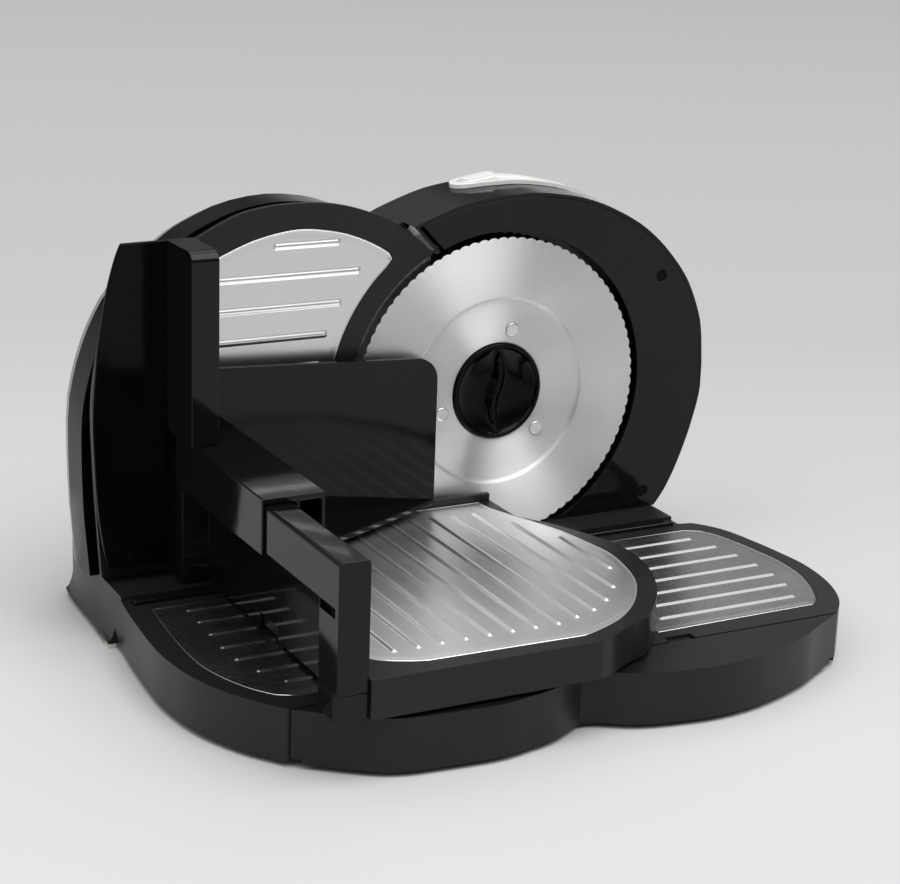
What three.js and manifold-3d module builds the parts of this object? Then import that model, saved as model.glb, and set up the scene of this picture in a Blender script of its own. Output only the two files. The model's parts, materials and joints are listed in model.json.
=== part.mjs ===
// Electric food slicer: base with trays, sliding carriage with pusher, round blade, gauge plate.
// Millimetres, Z up. X runs along the carriage's travel and Y away from the user.
// The blade turns about Y; Y is zero at its front face and X is zero at its centre while building.

import * as THREE from 'three';
import { mergeVertices } from 'three/addons/utils/BufferGeometryUtils.js';
import Module from 'manifold-3d';

const wasm = await Module();
wasm.setup();

// Clearances and overruns shared by all pieces
const seat = 0.3; // between pieces that rest on or in each other
const slip = 0.5; // between pieces that slide or turn in each other
const over = 1; // how far a cutting shape runs past what it cuts

// Heights above the table
const footHeight = 3.2;
const skirtHeight = 29.5;
const deckRise = 2.3;
const bladeHeight = 123;
const rimTop = footHeight + skirtHeight;
const deckTop = rimTop + deckRise;
const deckLevel = deckTop - bladeHeight; // the deck seen from the blade's centre

// Blade
const bladeRadius = 95;
const toothDepth = 1.1;
const toothCount = 90;
const bladeSheet = 1.4;
const bladeDish = 1.8;
const groundRadius = 81.2;
const groundDrop = 0.5;
const dishRadius = 58.5;
const dishSlope = 1.5;
const edgeSheet = 0.7;
const rivetCircle = 38.6;
const rivetHead = 4.2;
const rivetHeadRise = 0.8;
const rivetShank = 2;
const rivetAngle = 76.5;

// Centre knob
const knobRadius = 29.6;
const knobRim = 2.6;
const knobRound = 0.5;
const knobDepth = 11.5;
const knobHollow = 6;
const knobStem = 8;
const knobStemLength = 8.5;
const ridgeWidth = 5.2;
const ridgeSway = 4.5;
const ridgeDrop = 0.6;

// Moulded gear behind the blade, and the axle that it runs on
const flangeRadius = 44;
const flangeSheet = 3;
const cupWall = 4;
const gearHub = 20;
const gearRadius = 34;
const gearTooth = 2;
const gearTeeth = 36;
const gearWidth = 8;
const gearBack = 36;
const axleRadius = 5;

// Motor housing on the right
const housingReach = 148.4; // blade centre to the right side
const housingTop = 120.4; // blade centre to the top
const housingWall = 2;
const housingDepth = 54;
const housingFront = 0.3;
const bulkheadFront = 9;
const bulkheadSheet = 3;
const housingLeft = 44; // blade centre to the wall beside the slice chute
const bladeRecess = 3.6; // dark ring left open round the blade
const backDepth = 30;
const backWall = 2.4;

// Guard in front of the motor housing
const guardSheet = 3;
const guardCut = 4.5; // between the housing's sloping left edge and the guard's own end
const guardScrewHead = 3.5;
const guardScrewShank = 1.6;
const guardScrewLength = 11;
const guardCollar = 2.2;

// Gauge plate on the left
const gaugeReach = 256;
const gaugeTop = 123.6;
const gaugeSetting = 2; // slice thickness that is set at rest
const gaugeSheet = 3.5;
const gaugeClear = 4.3; // between the blade's rim and the plate's hollow edge
const gaugeFootGap = 3.4;
const gaugePocket = 1.1;
const stripRadius = 91;
const stripOverlap = 4;
const stripSheet = 0.8;

// Left housing behind the gauge plate
const domeReach = 258;
const domeTop = 122.4;
const domeFront = 15;
const domeDepth = 47.5;
const domeWall = 2.4;
const domeRight = 96;

// Steel inlays with pressed ribs
const inlaySheet = 0.8;
const inlayPocket = 1.1;
const ribHeight = 1.2;
const ribWidth = 3.4;

// Base and trays
const baseLeft = 256;
const baseRight = 147;
const trayDepth = 233;
const baseBack = 85;
const baseWall = 2.6;
const baseCorner = 22;
const rearCorner = 5;
const deckFront = 32;
const deckRight = 116;
const splitGap = 1.5;
const bottomSheet = 2;
const bottomRise = 0.8;
const railWidth = 6;
const railInset = 4;
const railLet = 1.5;
const railGroove = 3;

// Carriage
const carriageTop = 56.8;
const carriageDepth = 229;
const carriageRight = 25;
const carriageLeft = 194;
const carriageBack = 3.6;
const carriageSheet = 3;
const carriageWall = 2.5;
const lipThickness = 3.4;
const lipRise = 4.2;
const armLeft = 210.3;
const armRight = 193;
const armTop = 119.7;
const armHeight = 25;
const armFront = 226.5;
const armBack = 4;
const armEdge = 2.4;
const postDepth = 23;
const rearPostDepth = 14;
const legBottom = 49.4;

// Pusher
const plateTop = 159.5;
const plateBottom = 61;
const plateRight = 47.8;
const plateFront = 12;
const plateSheet = 3;
const plateLeft = 190;
const plateCorner = 14;
const blockTop = 123.9;
const blockLeft = 212;
const blockRight = 176;
const blockFront = 135;
const blockSkirtDrop = 1.7;
const blockWeb = 2.4;
const gripTop = 233;
const gripRight = 198;
const gripLeft = 214;
const gripFront = 42;
const shieldWidth = 43.4; // from the grip's left side outward
const shieldBack = 1.5;
const shieldSheet = 2.4;
const shieldBottom = 45;
const shieldTop = 232.6;
const braceSheet = 3.3;
const braceReach = 58;

// Materials
const paint = (color, roughness, metalness) => ({ color, roughness, metalness });
const blackGloss = paint(0x151517, 0.22, 0);
const blackSatin = paint(0x1d1d1f, 0.45, 0);
const steel = paint(0xc9cbcd, 0.32, 0.9);
const darkSteel = paint(0x85888b, 0.4, 0.9);
const whiteGloss = paint(0xe6e8ea, 0.25, 0);
const rubber = paint(0x55575a, 0.85, 0);
const nylon = paint(0xd9d6cc, 0.6, 0);
const brass = paint(0xb08d4a, 0.4, 0.8);
const sheetGrey = paint(0x8f9396, 0.5, 0.6);

// Geometry helpers
const at = (x, y) => new THREE.Vector2(x, y);

function placed(shares, width, height) {
  return shares.map(([a, b]) => at(a * width, b * height));
}

function smooth(points, steps) {
  return new THREE.SplineCurve(points).getPoints(steps);
}

function arc(radius, from, to, steps, x = 0, y = 0) {
  const points = [];
  for (let i = 0; i <= steps; i++) {
    const angle = THREE.MathUtils.degToRad(from + ((to - from) * i) / steps);
    points.push(at(x + radius * Math.cos(angle), y + radius * Math.sin(angle)));
  }
  return points;
}

function inset(points, distance) {
  const turn = Math.sign(THREE.ShapeUtils.area(points));
  return points.map((point, i) => {
    const before = point.clone().sub(points.at(i - 1)).normalize();
    const after = points[(i + 1) % points.length].clone().sub(point).normalize();
    const normal = at(-before.y - after.y, before.x + after.x).normalize();
    const reach = distance / (normal.x * -after.y + normal.y * after.x);
    return point.clone().addScaledVector(normal, turn * reach);
  });
}

function solid(geometry) {
  const bare = geometry.clone();
  bare.deleteAttribute('normal');
  bare.deleteAttribute('uv');
  const merged = mergeVertices(bare);
  const vertProperties = merged.attributes.position.array;
  const triVerts = new Uint32Array(merged.index.array);
  return new wasm.Manifold(new wasm.Mesh({ numProp: 3, vertProperties, triVerts }));
}

function geometryOf(shape) {
  const mesh = shape.getMesh();
  const geometry = new THREE.BufferGeometry();
  geometry.setAttribute('position', new THREE.BufferAttribute(mesh.vertProperties, 3));
  geometry.setIndex(new THREE.BufferAttribute(mesh.triVerts, 1));
  geometry.computeVertexNormals();
  return geometry;
}

const union = (...shapes) => shapes.reduce((sum, shape) => sum.add(shape));
const cut = (shape, ...tools) => tools.reduce((rest, tool) => rest.subtract(tool), shape);

function extruded(points, depth) {
  return new THREE.ExtrudeGeometry(new THREE.Shape(points), { depth, bevelEnabled: false });
}

// Plan outline in X and Y raised from one height to another
function prism(points, from, to) {
  return solid(extruded(points, to - from).translate(0, 0, from));
}

// Front outline in X and Z carried back from one Y to another
function slab(points, from, to) {
  return solid(extruded(points, to - from).rotateX(Math.PI / 2).translate(0, to, 0));
}

function box(x, y, z) {
  const size = new THREE.BoxGeometry(x[1] - x[0], y[1] - y[0], z[1] - z[0]);
  const middle = [x, y, z].map(([from, to]) => (from + to) / 2);
  return solid(size.translate(...middle));
}

// Ring or disc about Y from a closed profile of radius and Y
function turned(profile, steps) {
  const points = profile.map(([radius, y]) => at(radius, y));
  if (THREE.ShapeUtils.area(points) < 0) points.reverse();
  return solid(new THREE.LatheGeometry([...points, points[0].clone()], steps));
}

// Round bar along Y, Z or X
function barY(radius, from, to, x = 0, z = 0, steps = 24) {
  const bar = new THREE.CylinderGeometry(radius, radius, to - from, steps);
  return solid(bar.translate(x, (from + to) / 2, z));
}

function barZ(radius, from, to, x = 0, y = 0, steps = 24) {
  const bar = new THREE.CylinderGeometry(radius, radius, to - from, steps).rotateX(Math.PI / 2);
  return solid(bar.translate(x, y, (from + to) / 2));
}

function barX(radius, from, to, y = 0, z = 0, steps = 24) {
  const bar = new THREE.CylinderGeometry(radius, radius, to - from, steps).rotateZ(-Math.PI / 2);
  return solid(bar.translate((from + to) / 2, y, z));
}

// Closed skin over front outlines of equal point counts, each at its own Y
function loft(sections) {
  const clockwise = THREE.ShapeUtils.area(sections[0].points) < 0;
  const rings = sections.map(({ y, points }) => ({ y, points: clockwise ? [...points].reverse() : points }));
  const count = rings[0].points.length;
  const positions = rings.flatMap(({ y, points }) => points.flatMap((p) => [p.x, y, p.y]));
  const index = [];
  for (let s = 0; s + 1 < rings.length; s++) {
    for (let i = 0; i < count; i++) {
      const a = s * count + i;
      const b = s * count + ((i + 1) % count);
      index.push(a, a + count, b, b, a + count, b + count);
    }
  }
  const last = (rings.length - 1) * count;
  for (const [a, b, c] of THREE.ShapeUtils.triangulateShape(rings[0].points, [])) {
    const flat = [a, b, c].map((n) => rings[0].points[n]);
    const [p, q] = THREE.ShapeUtils.area(flat) < 0 ? [c, b] : [b, c];
    index.push(a, p, q, last + a, last + q, last + p);
  }
  const geometry = new THREE.BufferGeometry();
  geometry.setAttribute('position', new THREE.Float32BufferAttribute(positions, 3));
  geometry.setIndex(index);
  return solid(geometry);
}

// Pressed rib with rounded ends and sloping flanks, lying along X, Y up from its base
function rib(length, width, height) {
  const round = [...arc(width / 2, -90, 90, 4, length - width / 2), ...arc(width / 2, 90, 270, 4, width / 2)];
  const top = inset(round, height / 2);
  const skin = [
    { y: 0, points: round },
    { y: height, points: top },
  ];
  return loft(skin);
}

const machine = new THREE.Group();
const base = new THREE.Group();
const upper = new THREE.Group();
upper.position.set(0, 0, bladeHeight);
const bladeGroup = new THREE.Group();
const knobGroup = new THREE.Group();
const motorGroup = new THREE.Group();
const gaugeGroup = new THREE.Group();
gaugeGroup.position.set(0, gaugeSetting, 0);
const carriage = new THREE.Group();
const pusher = new THREE.Group();
machine.add(base, upper, carriage);
upper.add(bladeGroup, knobGroup, motorGroup, gaugeGroup);
carriage.add(pusher);

function piece(group, name, shape, look, x = 0, y = 0, z = 0) {
  const mesh = new THREE.Mesh(geometryOf(shape), new THREE.MeshStandardMaterial(look));
  mesh.name = name;
  mesh.position.set(x, y, z);
  group.add(mesh);
  return mesh;
}

// Base: outlines in plan, as shares of its reach to the left or right and of the tray's depth
const splitShare = 0.833;
const splitY = -splitShare * trayDepth;
const rearLeftShares = [
  [-0.972, -0.09], [-0.984, -0.196], [-0.992, -0.29], [-0.998, -0.38], [-0.999, -0.45],
  [-0.991, -0.545], [-0.976, -0.618], [-0.953, -0.685], [-0.919, -0.757], [-0.869, -splitShare],
];
const rearRightShares = [
  [0.803, -splitShare], [0.878, -0.779], [0.931, -0.719], [0.969, -0.652], [0.992, -0.58],
  [1, -0.505], [0.989, -0.425], [0.973, -0.345], [0.942, -0.241], [0.9, -0.18], [0.852, -0.141],
];
const frontLeftShares = [
  [-0.863, -0.839], [-0.784, -0.909], [-0.721, -0.957], [-0.666, -0.979], [-0.604, -0.987],
  [-0.473, -0.996], [-0.398, -0.983], [-0.32, -0.961], [-0.241, -0.914],
];
const frontRightShares = [
  [-0.35, -0.925], [-0.218, -0.97], [-0.065, -0.991], [0.1, -1], [0.3, -0.983], [0.533, -0.931],
  [0.68, -0.878], [0.797, -0.839],
];
const skirtFrontShare = 0.05;
const sideShares = [[-0.947, 0.343], [-0.959, 0.279], [-0.967, 0.204], [-0.969, 0.129], [-0.969, 0.06]];
const skirtFront = -skirtFrontShare * trayDepth;
const sidePoints = placed(sideShares, baseLeft, trayDepth);
const sideCorner = sidePoints[0].x + rearCorner;
const rearOutline = [
  ...smooth(placed(rearRightShares, baseRight, trayDepth), 22),
  at(deckRight, -deckFront + splitGap),
  ...arc(baseCorner / 2, 0, 90, 4, deckRight - baseCorner / 2, baseBack - baseCorner / 2),
  ...arc(rearCorner, 90, 180, 4, sideCorner, baseBack - rearCorner),
  ...sidePoints.slice(1),
  ...smooth(placed(rearLeftShares, baseLeft, trayDepth), 18),
];
const frontOutline = [
  ...smooth(placed(frontLeftShares, baseLeft, trayDepth), 16),
  ...smooth(placed(frontRightShares, baseRight, trayDepth), 16),
];
const trayCeiling = rimTop - baseWall;
const splitReach = [
  rearLeftShares.at(-1)[0] * baseLeft + baseWall / 2,
  rearRightShares[0][0] * baseRight - baseWall / 2,
];
const bottomFrom = footHeight + bottomRise;
const bottomTo = bottomFrom + bottomSheet;

// Screws that hold the bottom plate, and the bosses that they enter
const screwShank = 1.5;
const screwHead = 3.4;
const screwHeadHeight = 1.6;
const bossRadius = 4.6;
const screwGrip = 12;
const rearScrewShares = [[-0.84, -0.42], [0.83, -0.5], [-0.84, 0.16], [0.6, 0.12]];
const frontScrewShares = [[-0.47, -0.925], [0.2, -0.925]];
const screwPlaces = [
  ...rearScrewShares.map(([a, b]) => at(a * (a < 0 ? baseLeft : baseRight), b * trayDepth)),
  ...frontScrewShares.map(([a, b]) => at(a * (a < 0 ? baseLeft : baseRight), b * trayDepth)),
];
const bosses = screwPlaces.map((p) =>
  cut(
    barZ(bossRadius, bottomTo + seat, trayCeiling + over, p.x, p.y, 12),
    barZ(screwShank + seat, bottomTo - over, bottomTo + screwGrip + over, p.x, p.y, 10),
  ),
);

// Feet
const footRadius = 11;
const footStem = 3;
const footHead = 4.4;
const footHeadHeight = 1.5;
const footShares = [[-0.72, -0.8], [0.55, -0.8], [-0.86, 0.27], [0.66, 0.28]];
const footPlaces = footShares.map(([a, b]) => at(a * (a < 0 ? baseLeft : baseRight), b * trayDepth));

// Steel inlays of the two fixed trays, and their ribs from share to share of the reach
const leftInlayShares = [
  [-0.06, -0.172], [-0.928, -0.172], [-0.936, -0.253], [-0.943, -0.337], [-0.947, -0.42],
  [-0.948, -0.483], [-0.945, -0.541], [-0.93, -0.615], [-0.898, -0.7], [-0.862, -0.755],
  [-0.825, -0.776], [-0.06, -0.776],
];
const rightInlayShares = [
  [0.045, -0.773], [0.765, -0.767], [0.8, -0.75], [0.845, -0.705], [0.891, -0.64], [0.922, -0.571],
  [0.932, -0.481], [0.92, -0.4], [0.901, -0.324], [0.87, -0.245], [0.831, -0.2], [0.77, -0.178],
  [0.088, -0.176],
];
const leftInlay = placed(leftInlayShares, baseLeft, trayDepth);
const rightInlay = placed(rightInlayShares, baseRight, trayDepth);
const leftRibShares = [
  [-0.863, -0.12, -0.217], [-0.866, -0.12, -0.295], [-0.869, -0.12, -0.376], [-0.873, -0.12, -0.46],
  [-0.87, -0.12, -0.538], [-0.852, -0.12, -0.618], [-0.82, -0.12, -0.694],
];
const rightRibShares = [
  [0.17, 0.739, -0.246], [0.165, 0.786, -0.322], [0.16, 0.81, -0.397], [0.155, 0.822, -0.477],
  [0.15, 0.819, -0.552], [0.14, 0.801, -0.624], [0.12, 0.753, -0.7],
];

function ribbedInlay(outline, ribs) {
  const plate = prism(inset(outline, seat), 0, inlaySheet);
  const beads = ribs.map(({ x, y, length, turn }) => {
    const bead = rib(length, ribWidth, ribHeight + inlaySheet / 2).rotate([90, 0, turn]);
    return bead.translate([x, y, inlaySheet / 2]);
  });
  const field = prism(inset(outline, seat), 0, ribHeight + inlaySheet * 2);
  return union(plate, union(...beads).intersect(field));
}

function traySheet(outline, reach, ribs) {
  return ribbedInlay(
    outline,
    ribs.map(([from, to, y]) => ({
      x: from * reach, y: y * trayDepth, length: (to - from) * reach, turn: 0,
    })),
  );
}

// Flared skirt along the left side: its outline as shares of flare and height, and how much of the
// flare each place along the side has
const skirtShares = [[0, 1], [0.1, 0.7], [0.3, 0.4], [0.62, 0.17], [1, 0.06], [1, 0]];
const flareShares = [0.96, 0.73, 0.55, 0.55, 0.73, 1];
const skirtFlare = 5.5;
const skirtTop = 18;
const skirtSink = 0.5;
const skirtPlaces = [...sidePoints, at(sidePoints.at(-1).x, skirtFront)];
const skirtSections = skirtPlaces.map((place, i) => ({
  y: place.y,
  points: [
    ...placed(skirtShares, -skirtFlare * flareShares[i], skirtTop)
      .map((p) => at(place.x + skirtSink + p.x, footHeight + p.y)),
    at(place.x + baseWall, footHeight),
    at(place.x + baseWall, footHeight + skirtTop),
  ],
}));
const skirt = loft(skirtSections.reverse());

// Finger notch in the front edge of the rear base
const notchFromShare = 0.034;
const notchToShare = 0.15;
const notchDepth = 6;
const notchSink = 1.8;

const bladeSlotFront = 1.2;
const bladeSlotBack = 3;
const bladeSlotHalf = 24;
const bladeSlotRun = [-bladeSlotFront, bladeDish + bladeSheet + bladeSlotBack];
const bladeSlot = union(
  barY(bladeRadius + slip + over, ...bladeSlotRun, 0, bladeHeight, 48),
  box([-bladeSlotHalf, bladeSlotHalf], bladeSlotRun, [trayCeiling - over, deckTop + over]),
);
const deckPad = prism(rearOutline, rimTop - over, deckTop).intersect(
  box([-baseLeft, baseRight], [-deckFront + railWidth + railGroove, baseBack + over], [0, bladeHeight]),
);
const railFrom = sidePoints.at(-1).x + railInset;
const railTo = deckRight - railInset;
const railBase = box([railFrom, railTo], [-deckFront, -deckFront + railWidth], [rimTop - railLet, deckTop]);
const railPocket = box(
  [railFrom - seat, railTo + seat],
  [-deckFront - seat, -deckFront + railWidth + seat],
  [rimTop - railLet - seat, deckTop + over],
);
const rearShell = cut(
  union(prism(rearOutline, footHeight, rimTop), deckPad, skirt),
  cut(prism(inset(rearOutline, baseWall), footHeight - over, trayCeiling)),
  prism(leftInlay, rimTop - inlayPocket, rimTop + over),
  prism(rightInlay, rimTop - inlayPocket, rimTop + over),
  box(splitReach, [splitY - over, splitY + baseWall + over], [0, bottomTo + seat]),
  box(
    [notchFromShare * baseRight, notchToShare * baseRight],
    [splitY - over, splitY + notchDepth],
    [rimTop - notchSink, rimTop + over],
  ),
  bladeSlot,
  railPocket,
);
piece(base, 'base_rear', union(rearShell, ...bosses.slice(0, rearScrewShares.length)), blackGloss);

const frontShell = cut(
  prism(frontOutline, footHeight, rimTop),
  prism(inset(frontOutline, baseWall), footHeight - over, trayCeiling),
  box(splitReach, [splitY - splitGap - baseWall - over, splitY], [0, bottomTo + seat]),
);
piece(base, 'base_front', union(frontShell, ...bosses.slice(rearScrewShares.length)), blackGloss);

const bottomOutline = [...rearOutline, ...frontOutline];
const bottomInside = inset(bottomOutline, baseWall + seat);
const bottomPlate = cut(
  prism(bottomInside, bottomFrom, bottomTo),
  ...screwPlaces.map((p) => barZ(screwShank + seat, bottomFrom - over, bottomTo + over, p.x, p.y, 10)),
  ...footPlaces.map((p) => barZ(footStem + seat, bottomFrom - over, bottomTo + over, p.x, p.y, 12)),
);
piece(base, 'bottom_plate', bottomPlate, blackSatin);

const screwSolid = union(
  barZ(screwHead, bottomFrom - seat - screwHeadHeight, bottomFrom - seat, 0, 0, 12),
  barZ(screwShank, bottomFrom - seat - over / 2, bottomTo + screwGrip, 0, 0, 10),
);
screwPlaces.forEach((p, i) => piece(base, `bottom_screw_${i + 1}`, screwSolid, darkSteel, p.x, p.y));

const footSolid = union(
  barZ(footRadius, 0, bottomFrom - seat, 0, 0, 20),
  barZ(footStem, bottomFrom - over, bottomTo + seat + over, 0, 0, 12),
  barZ(footHead, bottomTo + seat, bottomTo + seat + footHeadHeight, 0, 0, 12),
);
footPlaces.forEach((p, i) => piece(base, `foot_${i + 1}`, footSolid, rubber, p.x, p.y));

// Pad under the front end of the flared skirt
const padShare = 0.985;
const padWidth = 9;
const padDepth = 8;
const padX = -padShare * baseLeft;
const pad = box([padX, padX + padWidth], [skirtFront, skirtFront + padDepth], [0, footHeight - seat]);
piece(base, 'skirt_pad', pad, nylon);

const inlayZ = rimTop - inlayPocket + seat;
piece(base, 'tray_inlay_left', traySheet(leftInlay, baseLeft, leftRibShares), steel, 0, 0, inlayZ);
piece(base, 'tray_inlay_right', traySheet(rightInlay, baseRight, rightRibShares), steel, 0, 0, inlayZ);
piece(base, 'guide_rail', railBase, blackGloss);

// Motor housing: front outline as shares of its reach and top, from the foot at the right round
// to the upper left, then the sloping left edge and the wall beside the chute
const housingFootShares = [[0.79, 1], [0.875, 0.779], [0.959, 0.384], [0.992, 0.088]];
const housingShares = [
  [0.975, 0.211], [0.953, 0.321], [0.907, 0.453], [0.852, 0.559], [0.749, 0.7], [0.65, 0.798],
  [0.549, 0.869], [0.448, 0.925], [0.35, 0.963], [0.254, 0.985], [0.159, 1], [0.066, 1],
  [-0.025, 0.995], [-0.163, 0.971], [-0.254, 0.941], [-0.342, 0.903], [-0.403, 0.874],
];
const housingStand = deckLevel + seat;
const slopeFootShare = 0.7356;
const slopeFoot = at(-housingLeft, slopeFootShare * housingTop);
const housingPoints = [
  ...placed(housingFootShares, housingReach, housingStand),
  ...placed(housingShares, housingReach, housingTop),
];
const housingCurve = smooth(housingPoints, 28);
const housingOutline = [...housingCurve, slopeFoot, at(-housingLeft, housingStand)];
const bulkheadBack = bulkheadFront + bulkheadSheet;
const recessRadius = bladeRadius + bladeRecess;

// Thin roof over the slice chute, from the housing's shoulder to the left housing
const hoodSheet = 3;
const hoodFallShare = 0.42;
const shoulder = housingCurve.at(-1);
const hoodGap = 1.2;
const hoodRun = domeRight - hoodGap + shoulder.x;
const hoodEnd = at(shoulder.x - hoodRun, shoulder.y - hoodRun * hoodFallShare);
const slope = shoulder.clone().sub(slopeFoot).normalize();
const inward = at(slope.y, -slope.x);
const hoodOutline = [
  shoulder,
  hoodEnd,
  at(hoodEnd.x, hoodEnd.y - hoodSheet),
  shoulder.clone().addScaledVector(slope, -hoodSheet * 2).addScaledVector(inward, housingWall / 2),
];

// Motor and worm: the worm runs along X under the gear
const wormRadius = 6;
const wormHalf = 14;
const wormZ = -(gearRadius + wormRadius + seat);
const wormY = gearBack - gearWidth / 2;
const canRadius = 19.4;
const canFrom = 30;
const canLength = 60;
const canTo = canFrom + canLength;
const canWall = 2;
const shaftRadius = 2.5;
const rotorRadius = 12;
const statorBore = 13;
const rotorInset = 5;
const mountFront = 58;
const mountSheet = 3;
const mountPost = 5;
const mountPostShares = [0.735, 0.781, -0.184];
const mountPosts = [
  at(-wormHalf - mountPost * 3, mountPostShares[0] * housingStand),
  at(canTo + mountPost + mountSheet, mountPostShares[1] * housingStand),
  at(canTo - mountPost * 5, mountPostShares[2] * housingStand),
];

const upperScrewShares = [0.76, 0.523];
const lowerScrewShares = [0.727, 0.876];
const guardScrews = [
  at(upperScrewShares[0] * housingReach, upperScrewShares[1] * housingTop),
  at(lowerScrewShares[0] * housingReach, lowerScrewShares[1] * housingStand),
];

// Power button on a tilted seat on the housing's shoulder
const buttonTiltAngle = 8;
const buttonX = 2;
const buttonY = 39.5;
const buttonLong = 25;
const buttonWide = 12;
const buttonRise = 5;
const buttonTravel = 2.5;
const buttonStemRadius = 3;
const buttonWall = 3;
const wellDepth = 4;
const switchTall = 12;
const switchWide = 12;
const switchEar = 2.5;
const buttonStepCount = 6;

function oval(long, wide, steps) {
  const straight = (long - wide) / 2;
  return [
    ...arc(wide / 2, -90, 90, steps, straight, 0),
    ...arc(wide / 2, 90, 270, steps, -straight, 0),
  ];
}

function surfaceHeight(x) {
  const i = housingCurve.findIndex((p, n) => n > 0 && p.x <= x && housingCurve[n - 1].x > x && p.y > 0);
  const a = housingCurve[i - 1];
  const b = housingCurve[i];
  return a.y + ((b.y - a.y) * (x - a.x)) / (b.x - a.x);
}

const buttonFoot = surfaceHeight(buttonX);
const onShoulder = (shape) => (
  shape.rotate([0, -buttonTiltAngle, 0]).translate([buttonX, buttonY, buttonFoot])
);
const buttonRing = oval(buttonLong + slip * 2, buttonWide + slip * 2, buttonStepCount);
const buttonHole = onShoulder(prism(buttonRing, -wellDepth * 2, buttonRise));

const housingShell = cut(
  union(
    cut(
      slab(housingOutline, housingFront, housingDepth),
      slab(inset(housingOutline, housingWall), housingFront - over, bulkheadFront),
      slab(inset(housingOutline, housingWall), bulkheadBack, housingDepth + over),
    ),
    slab(hoodOutline, domeFront + seat, housingDepth),
    ...mountPosts.map((p) => barY(mountPost, bulkheadFront + over, mountFront - seat, p.x, p.y, 12)),
    ...guardScrews.map((p) => barY(mountPost, guardSheet + seat, bulkheadFront + over, p.x, p.y, 12)),
  ),
  barY(recessRadius, -over, bulkheadFront, 0, 0, 72),
  barY(gearRadius + slip * 4, bulkheadFront - over, bulkheadBack + over, 0, 0, 36),
  ...guardScrews.map((p) => barY(guardScrewShank + seat, -over, guardScrewLength + over, p.x, p.y, 10)),
  buttonHole,
);
piece(upper, 'motor_housing', housingShell, blackGloss);

// Guard ring: the housing's outline less its wall, open round the blade and cut at the upper left
const guardOutline = inset(housingOutline, housingWall + seat);
const across = inward.clone().multiplyScalar(guardCut);
const guardKeep = [
  slopeFoot.clone().add(across).addScaledVector(slope, -bladeRadius),
  slopeFoot.clone().add(across).addScaledVector(slope, bladeRadius),
  at(housingReach, housingReach),
  at(housingReach, -housingReach),
  at(0, -housingReach),
];
const guardHole = recessRadius + seat;
const guardFoot = housingStand + housingWall + seat;
const countersink = turned([
  [0, -over], [guardScrewHead + seat, -over], [guardScrewHead + seat, seat],
  [guardScrewShank + seat, guardScrewHead - guardScrewShank + seat],
  [guardScrewShank + seat, guardSheet + over], [0, guardSheet + over],
], 16);
const guard = cut(
  union(
    slab(guardOutline, 0, guardSheet),
    cut(
      barY(guardHole + guardCollar, guardSheet - over, bulkheadFront - seat, 0, 0, 72),
      box([-housingReach, housingReach], [-over, housingDepth], [-housingReach, guardFoot]),
    ).intersect(slab(guardOutline, 0, bulkheadFront)),
  ).intersect(slab(guardKeep, -over, housingDepth)),
  barY(guardHole, -over, housingDepth, 0, 0, 72),
  ...guardScrews.map((p) => countersink.translate([p.x, 0, p.y])),
);
piece(upper, 'blade_guard', guard, blackGloss);

const guardScrew = turned([
  [0, seat], [guardScrewHead, seat], [guardScrewShank, guardScrewHead - guardScrewShank + seat],
  [guardScrewShank, guardScrewLength], [0, guardScrewLength],
], 16);
guardScrews.forEach((p, i) => piece(upper, `guard_screw_${i + 1}`, guardScrew, darkSteel, p.x, 0, p.y));

// Rear cover of the motor housing, drawn in towards the back, with vents and a cord inlet
const backShares = [[0, 1], [0.3, 0.962], [0.6, 0.92], [0.85, 0.87], [1, 0.8]];
const backAnchor = at(housingReach / 6, housingStand);
const drawn = (points, anchor, share) => points.map((p) => anchor.clone().lerp(p, share));
const backFrom = housingDepth + seat;
const backSkin = backShares.map(([a, share]) => (
  { y: backFrom + a * backDepth, points: drawn(housingOutline, backAnchor, share) }
));
const backCore = backShares.map(([a, share], i) => ({
  y: backFrom + a * (backDepth - backWall) - (i === 0 ? over : 0),
  points: inset(drawn(housingOutline, backAnchor, share), backWall),
}));
const ventWidth = 44;
const ventHeight = 3;
const ventPitch = 9;
const ventCount = 6;
const ventShare = 0.2;
const ventX = ventShare * housingReach;
const ventZ = 6;
const vents = Array.from({ length: ventCount }, (_, i) => box(
  [ventX, ventX + ventWidth],
  [backFrom, backFrom + backDepth + over],
  [ventZ + i * ventPitch, ventZ + i * ventPitch + ventHeight],
));
const inletRadius = 6.5;
const inletShare = 0.566;
const inletX = inletShare * housingReach;
const inletRise = 21.7;
const inletZ = housingStand + inletRise;
const inletBore = 3.4;
const inletLip = 2;
const backCover = cut(
  cut(loft(backSkin), loft(backCore)),
  ...vents,
  barY(inletRadius + seat, backFrom, backFrom + backDepth + over, inletX, inletZ, 20),
);
piece(upper, 'motor_rear_cover', backCover, blackGloss);
const inletBack = backFrom + backDepth;
const inletSeat = inletBack - backWall - seat;
const inletProfile = [
  [inletBore, inletSeat - inletLip], [inletRadius + inletLip, inletSeat - inletLip],
  [inletRadius + inletLip, inletSeat], [inletRadius, inletSeat],
  [inletRadius, inletBack], [inletBore, inletBack],
];
piece(upper, 'cord_inlet', turned(inletProfile, 20), rubber, inletX, 0, inletZ);

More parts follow.
